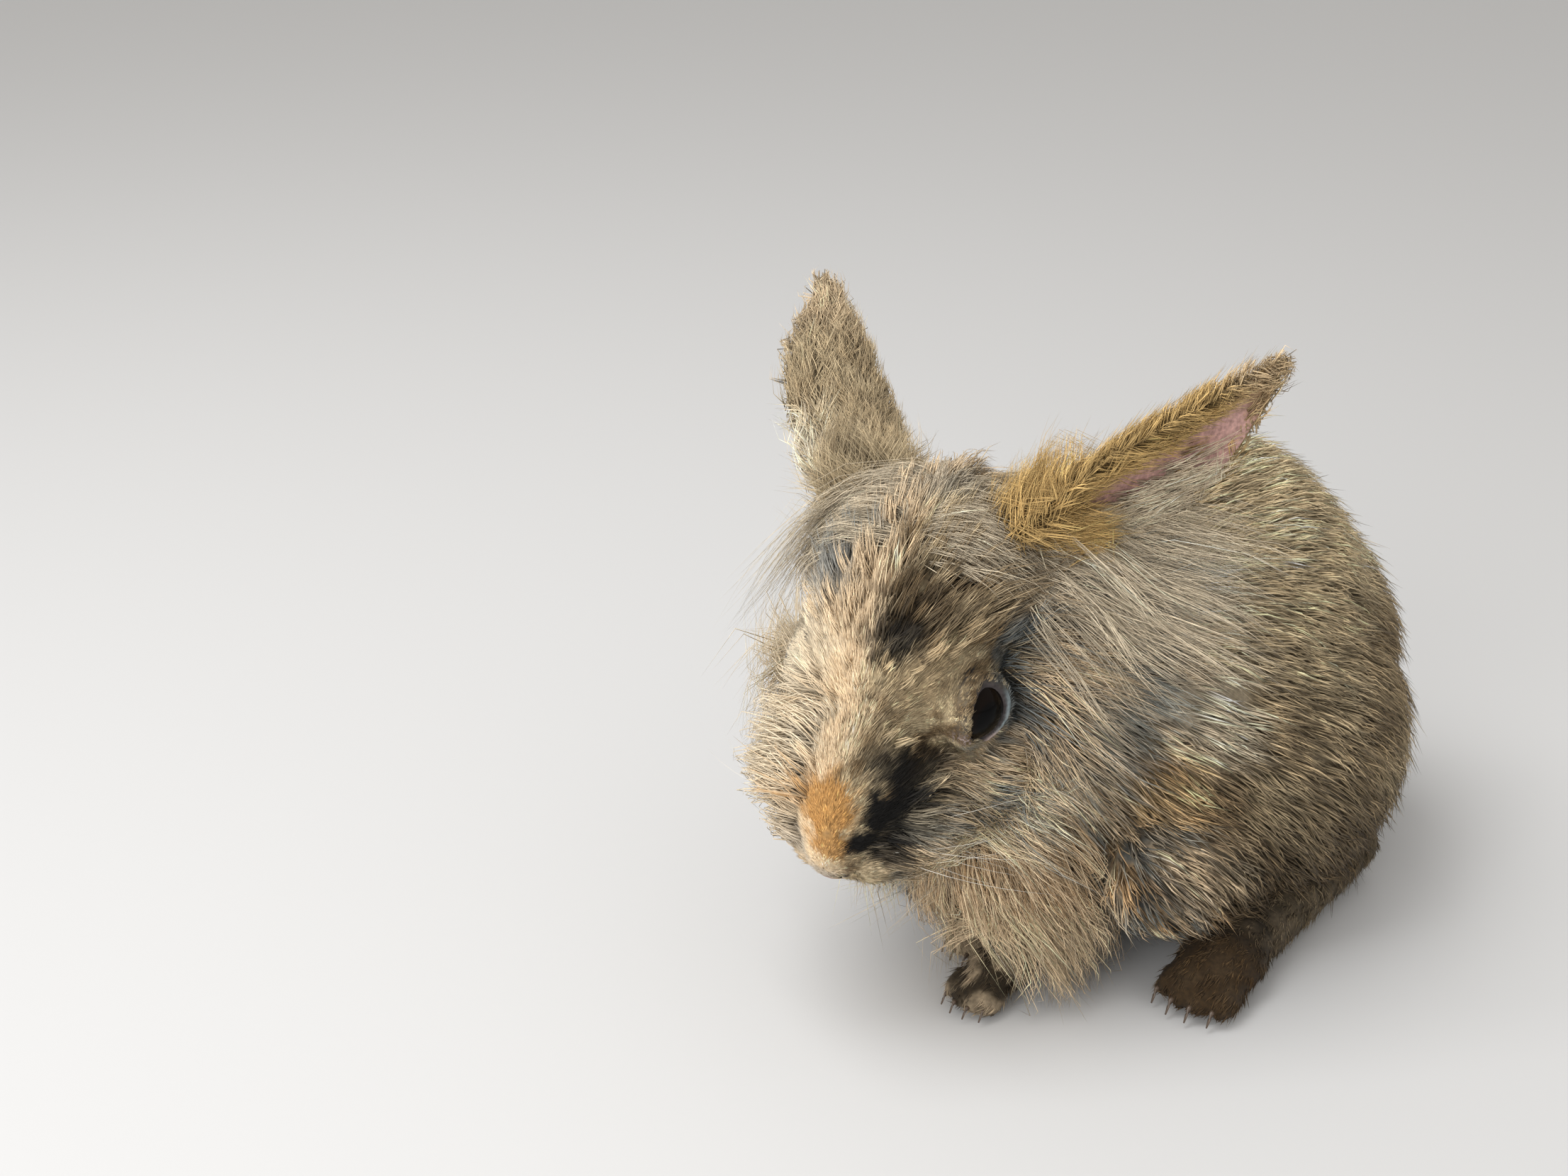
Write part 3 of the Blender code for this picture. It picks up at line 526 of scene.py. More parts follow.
def shape_muzzle(points):
    """Nostril slits, the split lip and the line of the mouth."""
    local = in_head(points)
    x, y, z = local.T
    depth = np.zeros(len(points))
    for side in (1, -1):
        out, up = x - NOSTRIL[0] * side, z - NOSTRIL[2]
        u = out * math.cos(NOSTRIL_LEAN) - side * up * math.sin(NOSTRIL_LEAN)
        v = side * out * math.sin(NOSTRIL_LEAN) + up * math.cos(NOSTRIL_LEAN)
        slit = np.exp(-((u / NOSTRIL_HALF[0]) ** 2) - (v / NOSTRIL_HALF[1]) ** 2) * (y < -0.042)
        depth += NOSTRIL_DEEP * slit
    lip = np.exp(-((x / CLEFT_HALF) ** 2)) * step_up(-z, CLEFT_TOP, CLEFT_TOP + 0.0015)
    depth += CLEFT_DEEP * lip * step_down(-z, CLEFT_FOOT, CLEFT_FOOT + 0.0015) * (y < -0.044)
    ring = np.abs(np.hypot(x / MOUTH_RADII[0], (y - MOUTH_AT[1]) / MOUTH_RADII[1]) - 1) * 0.014
    mouth = np.exp(-(((z - MOUTH_AT[2]) / MOUTH_HALF) ** 2)) * np.exp(-((ring / 0.004) ** 2)) * (y < -0.032)
    depth += MOUTH_DEEP * mouth
    inward = from_head(unit(np.array([0.0, -0.03, -0.008]) - local))
    return points + inward * depth[:, None]


def blend(first, second, share):
    """From the first colour to the second one as share goes from 0 to 1."""
    share = np.asarray(share)[:, None]
    return np.asarray(first) * (1 - share) + np.asarray(second) * share


def patched(colour, local, patches, ragged, inner, outer, kept=1.0):
    """Lays round patches over the colour, whole within inner and gone past outer times their reach."""
    for patch, *spots in patches:
        for *middle, reach, strength in spots:
            near = norms(local - np.array(middle))
            edge = reach * ragged
            colour = blend(colour, patch, step_down(near, inner * edge, outer * edge) * strength * kept)
    return colour


def head_colour(points):
    """The harlequin face: cream on the right half, brindled tan on the left, with patches."""
    local = head_mm(points)
    split = local[:, 0] - 2 + 2.5 * waves(local, 14, 3)
    mottle = step_up(waves(local, 9, 4) + 0.5 * waves(local, 4, 5), -0.9, 0.5)
    brindle = blend(BROWN * 2, FAWN, mottle)
    colour = blend(CREAM, brindle, step_up(split, -1.5, 1.5))
    low, behind = head_parts(points)
    streaks = step_up(waves(local * (1.0, 0.5, 1.6), 11, 14) + 0.4 * waves(local, 4, 15), -0.7, 0.5)
    cheek = blend(GREY * 0.85, CREAM * 1.12, streaks)
    cheek = blend(cheek, TAN * 0.9, 0.4 * step_up(waves(local, 13, 19), 0.2, 0.8))
    cheek = blend(WHITE, cheek, step_up(split, -6, 2))
    colour = blend(colour, cheek, low)
    mane = blend(GREY * 0.75, CREAM * 0.95, streaks)
    colour = blend(colour, mane, behind)
    ragged = 1 + 0.25 * waves(local, 8, 6) + 0.22 * waves(local, 3.5, 7)
    return patched(colour, local, PATCHES, ragged, 0.55, 1.2)


def body_colour(points):
    """Fawn fur with darker brindling, painted light over the back, painted shade below, and grey over the
    mane.
    """
    _, y, z = row_mm(points).T
    place = points * 1000
    mottle = step_up(waves(place, 34, 8) + 0.6 * waves(place, 13, 9), -0.7, 1.0)
    colour = blend(TAN * 0.75, FAWN, mottle)
    colour = blend(colour, BROWN * 1.8, 0.35 * step_up(waves(place, 22, 10), 0.15, 0.9))
    # Painted light: the top of the body is paler, as if lit from above
    colour = blend(colour, FAWN * 1.5, 0.85 * step_up(z, 76, 108))
    # Painted shade: the body darkens towards the floor, where little light reaches
    colour = blend(colour, BROWN, 0.9 * step_down(z, 22, 72))
    shade = step_up(waves(place, 15, 11) + 0.5 * waves(place, 6, 16), -0.8, 0.6)
    ruff = blend(GREY * 0.8, CREAM, shade)
    rusty = step_up(waves(place, 16, 17), 0.0, 0.6) * step_down(z, 60, 95)
    ruff = blend(ruff, ORANGE * 0.8, 0.65 * rusty)
    ruff = blend(ruff, BROWN * 1.5, 0.6 * step_up(waves(place, 14, 18), 0.25, 0.8))
    return blend(colour, ruff, step_down(y, -42, -14))


def leg_colour(points):
    """Mottled feet, with painted shade over the hind feet that is darkest at their toes, and orange left hind
    toes darkened by painted shade.
    """
    x, y, z = row_mm(points).T
    mottle = step_up(waves(points * 1000, 8, 12), -0.3, 0.6)
    colour = blend(BROWN * 0.5, CREAM * 0.6, mottle)
    hind = step_up(np.abs(x), 20, 28)
    # Painted shade: the hind feet sit in the haunches' shadow, darkest towards the toes
    hind_painted_shade = blend(BROWN * 0.35, TAN * 0.4, step_up(y, -20, 20))
    colour = blend(colour, hind_painted_shade, 0.8 * hind)
    # The left hind toes are orange, darkened almost to black with painted shade
    orange_toes_in_painted_shade = step_up(x, 30, 38) * step_down(y, -24, -8) * 0.8
    colour = blend(colour, ORANGE * 0.15, orange_toes_in_painted_shade)
    far_paw = step_down(x, -8, -2) * (1 - hind)
    return blend(colour, CREAM * 0.75, np.maximum(step_up(z, 14, 26) * (1 - hind), 0.8 * far_paw))


def coat_colour(points):
    """The coat's colour at each point of the skin, which its tufts take from their roots."""
    head = share_of(points, "head")[:, None]
    leg = share_of(points, "leg")[:, None] * (1 - head)
    colour = head_colour(points) * head + leg_colour(points) * leg + body_colour(points) * (1 - head - leg)
    local = row_mm(points)
    return patched(colour, local, MANE_PATCHES, 1 + 0.3 * waves(local, 7, 20), 0.5, 1.25, 1 - leg[:, 0])


def ear_colour(points, inside, side):
    """Golden tan outside on the left ear and greyer on the right, with pink skin within."""
    mottle = step_up(waves(points * 1000, 12, 13), -0.6, 0.8)[:, None]
    pale, dull = (TAN * 0.75, FAWN * 0.85) if side == "right" else (GOLD, GOLD * 0.8)
    outer = pale * mottle + dull * (1 - mottle)
    return blend(outer, PINK, inside)


def near_eyes(points):
    """Distance to the nearer eye's middle, and the way away from it."""
    away = points[:, None] - np.array([eye_axes(side)[0] for side in (1, -1)])[None]
    far = np.linalg.norm(away, axis=2)
    nearer = np.argmin(far, axis=1)
    return far.min(axis=1), unit(away[np.arange(len(points)), nearer])


def head_parts(points):
    """How far each point is part of the cheeks and beard, and of the long fur behind the face."""
    x, y, z = head_mm(points).T
    low = step_up(-z, -4, 6) * step_up(y, -48, -40) * step_up(np.abs(x), 4, 9)
    low = np.maximum(low, step_up(-z, 12, 18) * step_up(y, -46, -36))
    low = np.maximum(low, step_up(-x, 4, 9) * step_up(y, -42, -34) * step_down(z, 12, 20))
    behind = step_up(y, 9, 24) * np.maximum(step_down(z, 10, 24), step_up(np.abs(x), 12, 20))
    return low, behind


def coat_length(points):
    """How long the fur is: shortest on the nose and feet, longest in the mane and beard."""
    x, y, z = head_mm(points).T
    low, behind = head_parts(points)
    upper = NOSE_FUR + BRIDGE_ADDS * step_up(y, -44, -22) + BROW_ADDS * step_up(y, -12, 12)
    cheek = LIP_FUR + CHEEK_ADDS * step_up(y, -46, -6)
    cheek = cheek + RIGHT_CHEEK_ADDS * step_up(-x, 3, 9) * step_up(y, -50, -40) * step_down(y, -8, 6)
    cheek = cheek + BEARD_ADDS * step_up(-z, 12, 18) * step_up(y, -47, -38)
    face = upper * (1 - low) + cheek * low
    face = face * (1 - behind) + BEHIND_FUR * behind
    far = near_eyes(points)[0] * 1000
    face = np.minimum(
        face * (EYE_SHARE + (1 - EYE_SHARE) * step_up(far, EYE_CLEAR, 19)),
        EYE_FUR + EYE_SLOPE * np.maximum(far - EYE_CLEAR, 0),
    )
    head, leg, neck, tail = (share_of(points, group) for group in ("head", "leg", "neck", "tail"))
    height = points[:, 2] * 1000
    trunk = BELLY_FUR + BACK_ADDS * step_up(height, 12, 40)
    rest = np.maximum(1 - head - leg - neck - tail, 0)
    limb = FOOT_FUR + LEG_ADDS * step_up(height, 18, 30)
    ruff = RUFF_FUR + LOW_RUFF_ADDS * step_down(height, 30, 60)
    whole = face * head + limb * leg + ruff * neck + TAIL_FUR * tail + trunk * rest
    return whole / (head + leg + neck + tail + rest) / 1000


def aside(way, signs):
    """A way in the head's frame for each point, whose sideways part takes the point's sign."""
    ones = np.ones(len(signs))
    return np.array(way) * np.stack([signs, ones, ones], axis=1)


def lie_of_coat(points, normals):
    """Which way the fur lies at each point, along the surface."""
    head = share_of(points, "head")[:, None]
    leg = share_of(points, "leg")[:, None] * (1 - head)
    neck = share_of(points, "neck")[:, None] * (1 - head)
    x, _, z = in_head(points).T
    sign = np.tanh(x / 0.004)
    low, behind = (part[:, None] for part in head_parts(points))
    chin = (step_up(-z, 0.013, 0.019) * step_down(np.abs(x), 0.01, 0.018))[:, None]
    cheek = unit(aside(CHEEK_LIE, sign) * (1 - chin) + np.array(CHIN_LIE) * chin)
    face = unit(aside(FACE_LIE, np.tanh(x / 0.012))) * (1 - low) + cheek * low
    face = face * (1 - behind) + unit(aside(MANE_LIE, sign)) * behind
    far, away = near_eyes(points)
    ring = step_down(far, 0.0105, 0.014)[:, None]
    face = from_head(unit(face)) + away * ring * 0.8
    outward = points - np.array(SHIFT + BODY_PARTING)
    outward[:, 1] = 0.055
    outward[:, 2] -= 0.03
    ruff = points - np.array(HEAD @ RUFF_PARTING)
    ruff[:, 1] = np.abs(ruff[:, 1]) * 0.6 + 0.012
    ruff[:, 2] -= 0.02
    feet = np.zeros_like(points)
    down = step_up(points[:, 2], 0.014, 0.022)
    feet[:, 1], feet[:, 2] = 0.7 * down - 1.0, -0.35 - 0.65 * down
    flow = unit(outward) * (1 - neck) + unit(ruff) * neck
    return flatten(unit(face) * head + feet * leg + flow * (1 - head - leg), normals)


def unwrapped(points, normals):
    """A place on the map for each point: six tiles, one for each way that the skin faces."""
    axis = np.argmax(np.abs(normals), axis=1)
    ahead = np.take_along_axis(normals, axis[:, None], axis=1)[:, 0] > 0
    others = np.array([(1, 2), (0, 2), (0, 1)])[axis]
    flat = np.take_along_axis(points, others, axis=1) / (2 * MAP_HALF_WIDTH) + 0.5
    tile = np.stack([axis, ahead.astype(int)], axis=1)
    return (tile + np.clip(flat, 0.01, 0.99)) / np.array([3, 2])


def add_map(mesh, per_corner):
    layer = mesh.uv_layers.new(name="OFBake")
    layer.data.foreach_set("uv", per_corner.astype(np.float32).ravel())


def add_colours(mesh, colours):
    layer = mesh.color_attributes.new(name="coat", type="FLOAT_COLOR", domain="POINT")
    whole = np.ones((len(colours), 4), np.float32)
    whole[:, :3] = colours
    layer.data.foreach_set("color", whole.ravel())


def map_by_faces(mesh, points):
    """Lays a mesh's own faces on the map by the way that each of them faces."""
    faces = mesh.polygons
    normals = np.repeat(read(faces, "normal", 3), read(faces, "loop_total", 1, int), axis=0)
    add_map(mesh, unwrapped(points[read(mesh.loops, "vertex_index", 1, int)], normals))


def march(surface, roots, normals, lengths, lifts, stations, lie, curl, drop, seed):
    """Lines over the skin from each root, as their places and the normals under them."""
    draw = np.random.default_rng(seed)
    heading = lie(roots, normals)
    side = np.cross(normals, heading)
    heading = unit(heading + side * (draw.normal(size=len(roots)) * curl)[:, None])
    lines, ups = [roots], [normals]
    at, up = roots, normals
    base = np.zeros(len(roots))
    for i in range(1, stations):
        t = i / (stations - 1)
        at = at - up * base[:, None] + heading * (lengths / (stations - 1))[:, None]
        near, fresh = surface.nearest(at)
        up = unit(up + fresh)
        base = lifts * (1 - (1 - t) ** 2)
        heading = flatten(heading * 0.6 + lie(near, up) * 0.4 + np.array([0, 0, -drop]), up)
        at = near + up * base[:, None]
        lines.append(at)
        ups.append(up)
    return np.stack(lines, axis=1), np.stack(ups, axis=1)


def clumps(lines, ups, count, spread, gather, draw):
    """Tufts round each guide, whose tips draw together."""
    n, stations, _ = lines.shape
    heading = unit(lines[:, -1] - lines[:, 0])
    across = unit(np.cross(heading, ups[:, 0]))
    along = np.cross(ups[:, 0], across)
    angle = draw.uniform(0, 2 * math.pi, (n, count))
    reach = np.sqrt(draw.random((n, count))) * spread[:, None]
    offset = (np.cos(angle) * reach)[..., None] * across[:, None]
    offset = offset + (np.sin(angle) * reach)[..., None] * along[:, None]
    t = np.linspace(0, 1, stations)[None, None, :, None]
    wide = spread[:, None, None, None]
    scale = draw.uniform(CLUMP_SHORTEST, CLUMP_LONGEST, (n, count))[..., None, None]
    body = (lines - lines[:, :1])[:, None] * scale
    stray = draw.normal(size=(n, count, 1, 3)) * wide * STRAY
    lifted = ups[:, None] * (draw.uniform(*CLUMP_LIFT, (n, count))[..., None, None] * t * wide * 2)
    drawn = offset[:, :, None] * (1 - gather * t ** 1.2)
    places = lines[:, None, :1] + body + drawn + stray * t ** 2 + lifted
    roots = lines[:, None, 0] + offset
    tops = np.broadcast_to(ups[:, None], places.shape)
    return places.reshape(-1, stations, 3), tops.reshape(-1, stations, 3), roots.reshape(-1, 3)


def tuft_faces(stations):
    """The triangles of one tuft: its foot, its sides and its tip."""
    faces = [(0, 2, 1)]
    for i in range(stations - 2):
        for j in range(3):
            a, b = 3 * i + j, 3 * i + (j + 1) % 3
            faces += [(a, b, b + 3), (a, b + 3, a + 3)]
    last = 3 * (stations - 2)
    return np.array(faces + [(last + j, last + (j + 1) % 3, last + 3) for j in range(3)])


def tuft_piece(name, places, tops, roots, colours, widths):
    """One mesh of closed three-sided tufts, with their colours and their map."""
    n, stations, _ = places.shape
    t = np.linspace(0, 1, stations)[None, :, None]
    heading = unit(np.gradient(places, axis=1))
    across = unit(np.cross(heading, tops))
    rise = np.cross(across, heading)
    half = widths[:, None, None] / 2 * (1 - t) ** TAPER
    places = places - tops * (ROOT_SUNK * (t == 0))
    rings = np.stack([places - across * half, places + across * half, places + rise * half * 0.9], axis=2)
    points = np.concatenate([rings[:, :-1].reshape(n, -1, 3), places[:, -1:]], axis=1)
    per = points.shape[1]
    corners = (np.arange(n)[:, None, None] * per + tuft_faces(stations)[None]).reshape(-1)
    mesh = bpy.data.meshes.new(name)
    mesh.vertices.add(n * per)
    mesh.vertices.foreach_set("co", points.astype(np.float32).ravel())
    mesh.loops.add(len(corners))
    mesh.loops.foreach_set("vertex_index", corners.astype(np.int32))
    mesh.polygons.add(len(corners) // 3)
    mesh.polygons.foreach_set("loop_start", np.arange(0, len(corners), 3, dtype=np.int32))
    mesh.update(calc_edges=True)
    station_of = np.append(np.repeat(np.arange(stations - 1), 3), stations - 1)
    side_of = np.append(np.tile([0.0, 1.0, 0.5], stations - 1), 0.5)
    share = station_of / (stations - 1)
    add_colours(mesh, colours[:, station_of].reshape(-1, 3))
    hairs = mesh.attributes.new("hairs", "FLOAT_VECTOR", "POINT")
    start = np.random.default_rng(n).uniform(0, 5, (n, 1))
    width = widths[:, None] * 1000 * (side_of - 0.5)[None] * (1 - 0.6 * share)[None]
    run = norms(places[:, -1] - places[:, 0])[:, None] * 1000 * share[None]
    mapped = [start + width * HAIRS_PER_MM, run * HAIRS_ALONG, np.broadcast_to(start * 7, run.shape)]
    hairs.data.foreach_set("vector", np.stack(mapped, axis=2).astype(np.float32).ravel())
    patch = np.stack([side_of - 0.5, share], axis=1) * UV_PATCH
    base = unwrapped(roots, tops[:, 0])
    add_map(mesh, (base[:, None] + patch[None]).reshape(-1, 2)[corners])
    mesh.shade_smooth()
    return new_object(name, mesh)


def banded(roots, stations, colour, draw, each, root_dark=0.35, tips=None, tip_share=0.4, vary=0.13):
    """Each tuft's colours from root to tip: a dark base, its own colour, and some dark or pale tips."""
    n = len(roots)
    t = np.linspace(0, 1, stations)[None, :, None]
    clump = np.repeat(draw.normal(0, 1.3 * vary, n // each), each)[:, None, None]
    bright = np.exp(draw.normal(0, vary, (n, 1, 1)) + clump)
    base = colour[:, None] * (root_dark + (1 - root_dark) * np.clip(t * 2.2, 0, 1)) * bright
    if tips is not None:
        ticked = (draw.random((n, 1, 1)) < tip_share) * np.clip(t * 2.4 - 1.1, 0, 1)
        ends = base * tips if isinstance(tips, float) else np.array(tips)
        base = base * (1 - ticked) + ends * ticked
    return np.clip(base, 0, BRIGHTEST)


def new_material(name):
    """A material with its nodes, its links and its shader."""
    made = bpy.data.materials.new(name)
    made.use_nodes = True
    nodes = made.node_tree.nodes
    return made, nodes, made.node_tree.links, nodes["Principled BSDF"]


def set_inputs(node, values):
    for name, value in values.items():
        node.inputs[name].default_value = value


def coat_node(nodes):
    """The colours that each point of a mesh carries."""
    colour = nodes.new("ShaderNodeVertexColor")
    colour.layer_name = "coat"
    return colour


def fur_material(name, hairs, roughness):
    """Fur whose hairs run along each tuft, or are a fine grain where there are no tufts."""
    made, nodes, links, shader = new_material(name)
    look = {"Roughness": roughness, "Specular IOR Level": 0.25, "Sheen Weight": 0.02, "Sheen Roughness": 0.6}
    set_inputs(shader, look)
    colour = coat_node(nodes)
    grain = nodes.new("ShaderNodeTexNoise")
    place = nodes.new("ShaderNodeAttribute" if hairs else "ShaderNodeTexCoord")
    if hairs:
        place.attribute_name = "hairs"
    links.new(place.outputs["Vector" if hairs else "Object"], grain.inputs["Vector"])
    set_inputs(grain, {"Scale": 1.6, "Detail": 2} if hairs else {"Scale": 900, "Detail": 3})
    spread = nodes.new("ShaderNodeMapRange")
    set_inputs(spread, {"From Min": 0.3, "From Max": 0.7, "To Min": 0.68, "To Max": 1.32})
    mix = nodes.new("ShaderNodeMix")
    mix.data_type, mix.blend_type = "RGBA", "MULTIPLY"
    set_inputs(mix, {"Factor": 1.0})
    links.new(grain.outputs["Fac"], spread.inputs["Value"])
    links.new(colour.outputs["Color"], mix.inputs["A"])
    links.new(spread.outputs["Result"], mix.inputs["B"])
    links.new(mix.outputs["Result"], shader.inputs["Base Color"])
    bump = nodes.new("ShaderNodeBump")
    set_inputs(bump, {"Strength": 0.5, "Distance": 0.0003})
    links.new(grain.outputs["Fac"], bump.inputs["Height"])
    links.new(bump.outputs["Normal"], shader.inputs["Normal"])
    return made


def dress(obj, material, slot, *nodes):
    obj.data.materials.clear()
    obj.data.materials.append(material)
    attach(obj, "root")
    if nodes:
        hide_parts(*nodes)


def horn_material(name, colour, roughness):
    """A plain colour with a fine grain, for whiskers and claws."""
    made, nodes, links, shader = new_material(name)
    grain = nodes.new("ShaderNodeTexNoise")
    set_inputs(grain, {"Scale": 400})
    ramp = nodes.new("ShaderNodeValToRGB")
    for element, shade in zip(ramp.color_ramp.elements, (0.8, 1.15)):
        element.color = (*(c * shade for c in colour), 1)
    links.new(grain.outputs["Fac"], ramp.inputs["Fac"])
    links.new(ramp.outputs["Color"], shader.inputs["Base Color"])
    set_inputs(shader, {"Roughness": roughness})
    return made


def eye_material():
    made, nodes, links, shader = new_material("eye_surface_wet")
    set_inputs(shader, {"Roughness": 0.04, "Specular IOR Level": 0.07})
    links.new(coat_node(nodes).outputs["Color"], shader.inputs["Base Color"])
    return made


FUR = fur_material("fur_surface", True, 0.75)
SKIN_FUR = fur_material("skin_fur_surface", False, 0.9)


def finish_skin(skin, surface):
    """Colours the skin darker than its coat, with the lids' rims and the nose bare, painted shade over the
    upper side of each lid's ring and in the nostril slits.
    """
    points = surface.points
    colours = coat_colour(points) * (0.42 + 0.23 * share_of(points, "head")[:, None])
    for side in (1, -1):
        far, across = lid_reach(points, side)
        rim = step_down(across, 1.02, 1.12) * (far < 0.0125)
        ring = step_down(across, 1.25, 1.6) * (far < LID_END)
        # The ring's upper side is painted shade; only its lower and hind side has the pale colour
        pale = blend(LID_PAINTED_SHADE, LID_PALE, bare_side(points, side))
        local = eye_mm(points, side)
        pale = blend(pale, LID_CORNER, step_up(-0.8 * local[:, 1] - 0.6 * local[:, 2], 4.0, 6.5))
        colours = blend(blend(colours, pale, 0.9 * ring), LID_RIM, rim)
    colours = blend(colours, NOSE_SKIN, step_down(from_nose(points), 0.0022, 0.0045))
    slit = norms(from_nostril(points) / NOSTRIL_REACH)
    # Painted shade: the nostril slits are painted near black
    colours = blend(colours, NOSTRIL_PAINTED_SHADE, step_down(slit, 0.8, 1.3))
    add_colours(skin.data, colours)
    map_by_faces(skin.data, points)
    dress(skin, SKIN_FUR, "body_fur", "head", "neck", "torso", "tail", "foreleg_left", "foreleg_right",
          "hind_leg_left", "hind_leg_right")


def off_the_eyes(points):
    """1 where fur may grow, 0 within the lids' rims."""
    allowed = np.ones(len(points))
    for side in (1, -1):
        far, across = lid_reach(points, side)
        limit = 1.05 + 0.3 * bare_side(points, side)
        allowed *= np.where((far < LID_END) & (across < limit), 0.0, 1.0)
    return allowed


def grow(surface, name, slot, here, guides, each, stations, width, spread, lift, gather, curl, tip, tip_share,
         root_dark, vary, seed, drop=0.05, lie=lie_of_coat, longer=1.0, colour=None):
    """One piece of coat: guides scattered where here says, each with a clump of tufts round it."""
    draw = np.random.default_rng(SEED + seed)
    roots, normals = surface.scatter(here, guides, draw)
    length = coat_length(roots) * draw.uniform(0.75, 1.15, guides) * longer
    lines, ups = march(surface, roots, normals, length, length * lift, stations, lie, curl, drop, SEED + seed)
    places, tops, starts = clumps(lines, ups, each, np.minimum(spread, 0.25 * length), gather, draw)
    places[:, :, 2] = np.maximum(places[:, :, 2], FLOOR_CLEAR + TIP_CLEAR)
    base = coat_colour(starts) if colour is None else np.tile(np.array(colour), (len(starts), 1))
    colours = banded(starts, stations, base, draw, each, root_dark, tip, tip_share, vary)
    widths = width * draw.uniform(0.65, 1.25, len(starts))
    dress(tuft_piece(name, places, tops, starts, colours, widths), FUR, slot)


def grow_coat(surface):
    """The coat by how long it is: fine and short on the face and feet, longer over the rest."""
    points = surface.points
    length = coat_length(points) * 1000
    head, leg, neck = (share_of(points, group) for group in ("head", "leg", "neck"))
    nose = step_up(from_nose(points), 0.0025, 0.0045)
    nose = nose * step_up(norms(from_nostril(points) * (1, 1, 1.6)), 0.0012, 0.0022)
    bare = off_the_eyes(points) * nose * (points[:, 2] > 0.0015)
    short = head * bare * step_down(length, 6.5, 9.0)
    low, behind = head_parts(points)
    front = head * low * (1 - behind)
    middle = head * bare * step_up(length, 4.0, 7.0) * np.maximum(step_down(length, 14, 18), front)
    long = np.maximum(head, neck) * bare * step_up(length, 10, 14) * (1 - 0.7 * front)
    x, y, _ = head_mm(points).T
    fine = 1 + 1.5 * step_down(y, -34, 0) + 3.0 * step_down(near_eyes(points)[0], 0.012, 0.016)
    halves = (("left", x > 0, 1, 640, 480, 0.15, 1.4, 0.6), ("right", x <= 0, 2, 600, 360, 0.05, 1.1, 0.8))
    for label, side, seed, cheeks, manes, vary, tips, shade in halves:
        grow(surface, "coat_face_" + label, "face_fur", short * fine * side, guides=4500, each=5, stations=2,
             width=0.00044, spread=0.0012, lift=0.22, gather=0.3, curl=0.1, tip=tips, tip_share=0.35,
             root_dark=shade, vary=vary, seed=seed, drop=0)
        grow(surface, "coat_cheek_" + label, "face_fur", middle * side, guides=cheeks, each=14, stations=4,
             width=0.0004, spread=0.0046, lift=0.66, gather=0.55, curl=0.22, tip=tips, tip_share=0.5,
             root_dark=0.66, vary=vary, seed=seed + 10)
        grow(surface, "coat_mane_" + label, "mane_fur", long * side, guides=manes, each=22, stations=4,
             width=0.00037, spread=0.0058, lift=0.46, gather=0.68, curl=0.26, tip=1.3, tip_share=0.5,
             root_dark=0.6, vary=0.12, seed=seed + 20)
    body = (1 - head - leg) * (1 - neck) * bare * (1 - 0.7 * (surface.normals[:, 2] < -0.7))
    along = points[:, 1] - SHIFT.y
    for index, (start, end) in enumerate(((-0.07, 0.01), (0.01, 0.048), (0.048, 0.14))):
        here = body * (along >= start) * (along < end)
        grow(surface, "coat_body_%d" % index, "body_fur", here, guides=1350, each=8, stations=3,
             width=0.0006, spread=0.0034, lift=0.27, gather=0.4, curl=0.14, tip=DARK_TIP, tip_share=0.32,
             root_dark=0.42, vary=0.2, seed=30 + index)
    grow(surface, "coat_legs", "leg_fur", leg * bare, guides=2600, each=5, stations=2, width=0.0005,
         spread=0.0016, lift=0.24, gather=0.3, curl=0.16, tip=None, tip_share=0, root_dark=0.6, vary=0.13,
         seed=40, drop=0)


def crown_lie(points, normals):
    """To both sides of the brow: level on the right, and out behind the eye on the left."""
    side = step_up(in_head(points)[:, 0], -0.005, 0.003)[:, None]
    left, right = unit(np.array(CROWN_LEFT)), unit(np.array(CROWN_RIGHT))
    return flatten(from_head(left * side + right * (1 - side)), normals)


def grow_crown(surface):
    """The long pale hair between the ears, which parts to both sides of the brow."""
    x, y, z = head_mm(surface.points).T
    sweeps = (
        ("coat_crown_right", (x < 5) * (x > -16) * (y > 18) * (y < 46) * (z > 8), 200, 0.024, 0.36),
        ("coat_crown_left", (x >= -4) * (x < 15) * (y > 20) * (y < 46) * (z > 8), 215, 0.028, 0.34),
        ("coat_lock_left", (x >= 13) * (x < 27) * (y > 24) * (y < 48) * (z > -8), 115, 0.046, 0.34),
    )
    for index, (name, here, guides, long, lift) in enumerate(sweeps):
        roots, _ = surface.scatter(here * 1.0, 200, np.random.default_rng(SEED))
        grow(surface, name, "mane_fur", here * 1.0, guides=guides, each=11, stations=5, width=0.00031,
             spread=0.0046, lift=lift, gather=0.6, curl=0.35, tip=WHITE, tip_share=0.4, root_dark=0.5,
             vary=0.22, seed=50 + index, drop=0.03, lie=crown_lie, longer=long / coat_length(roots).mean(),
             colour=CROWN)


def ear_skin(side):
    """The solid ear's own form, made finer and set a little inside it."""
    ear = new_object("ear_skin_" + side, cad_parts["ear_" + side].data.copy())
    weld = ear.modifiers.new("Weld", "WELD")
    weld.merge_threshold = 0.00002
    divide = ear.modifiers.new("Divide", "SUBSURF")
    divide.levels = divide.render_levels = 2
    thin = ear.modifiers.new("Thin", "DISPLACE")
    thin.strength, thin.mid_level = -EAR_SKIN_DEPTH, 0.0
    bake(ear)
    for name in [layer.name for layer in ear.data.uv_layers]:
        ear.data.uv_layers.remove(ear.data.uv_layers[name])
    ear.data.shade_smooth()
    return ear


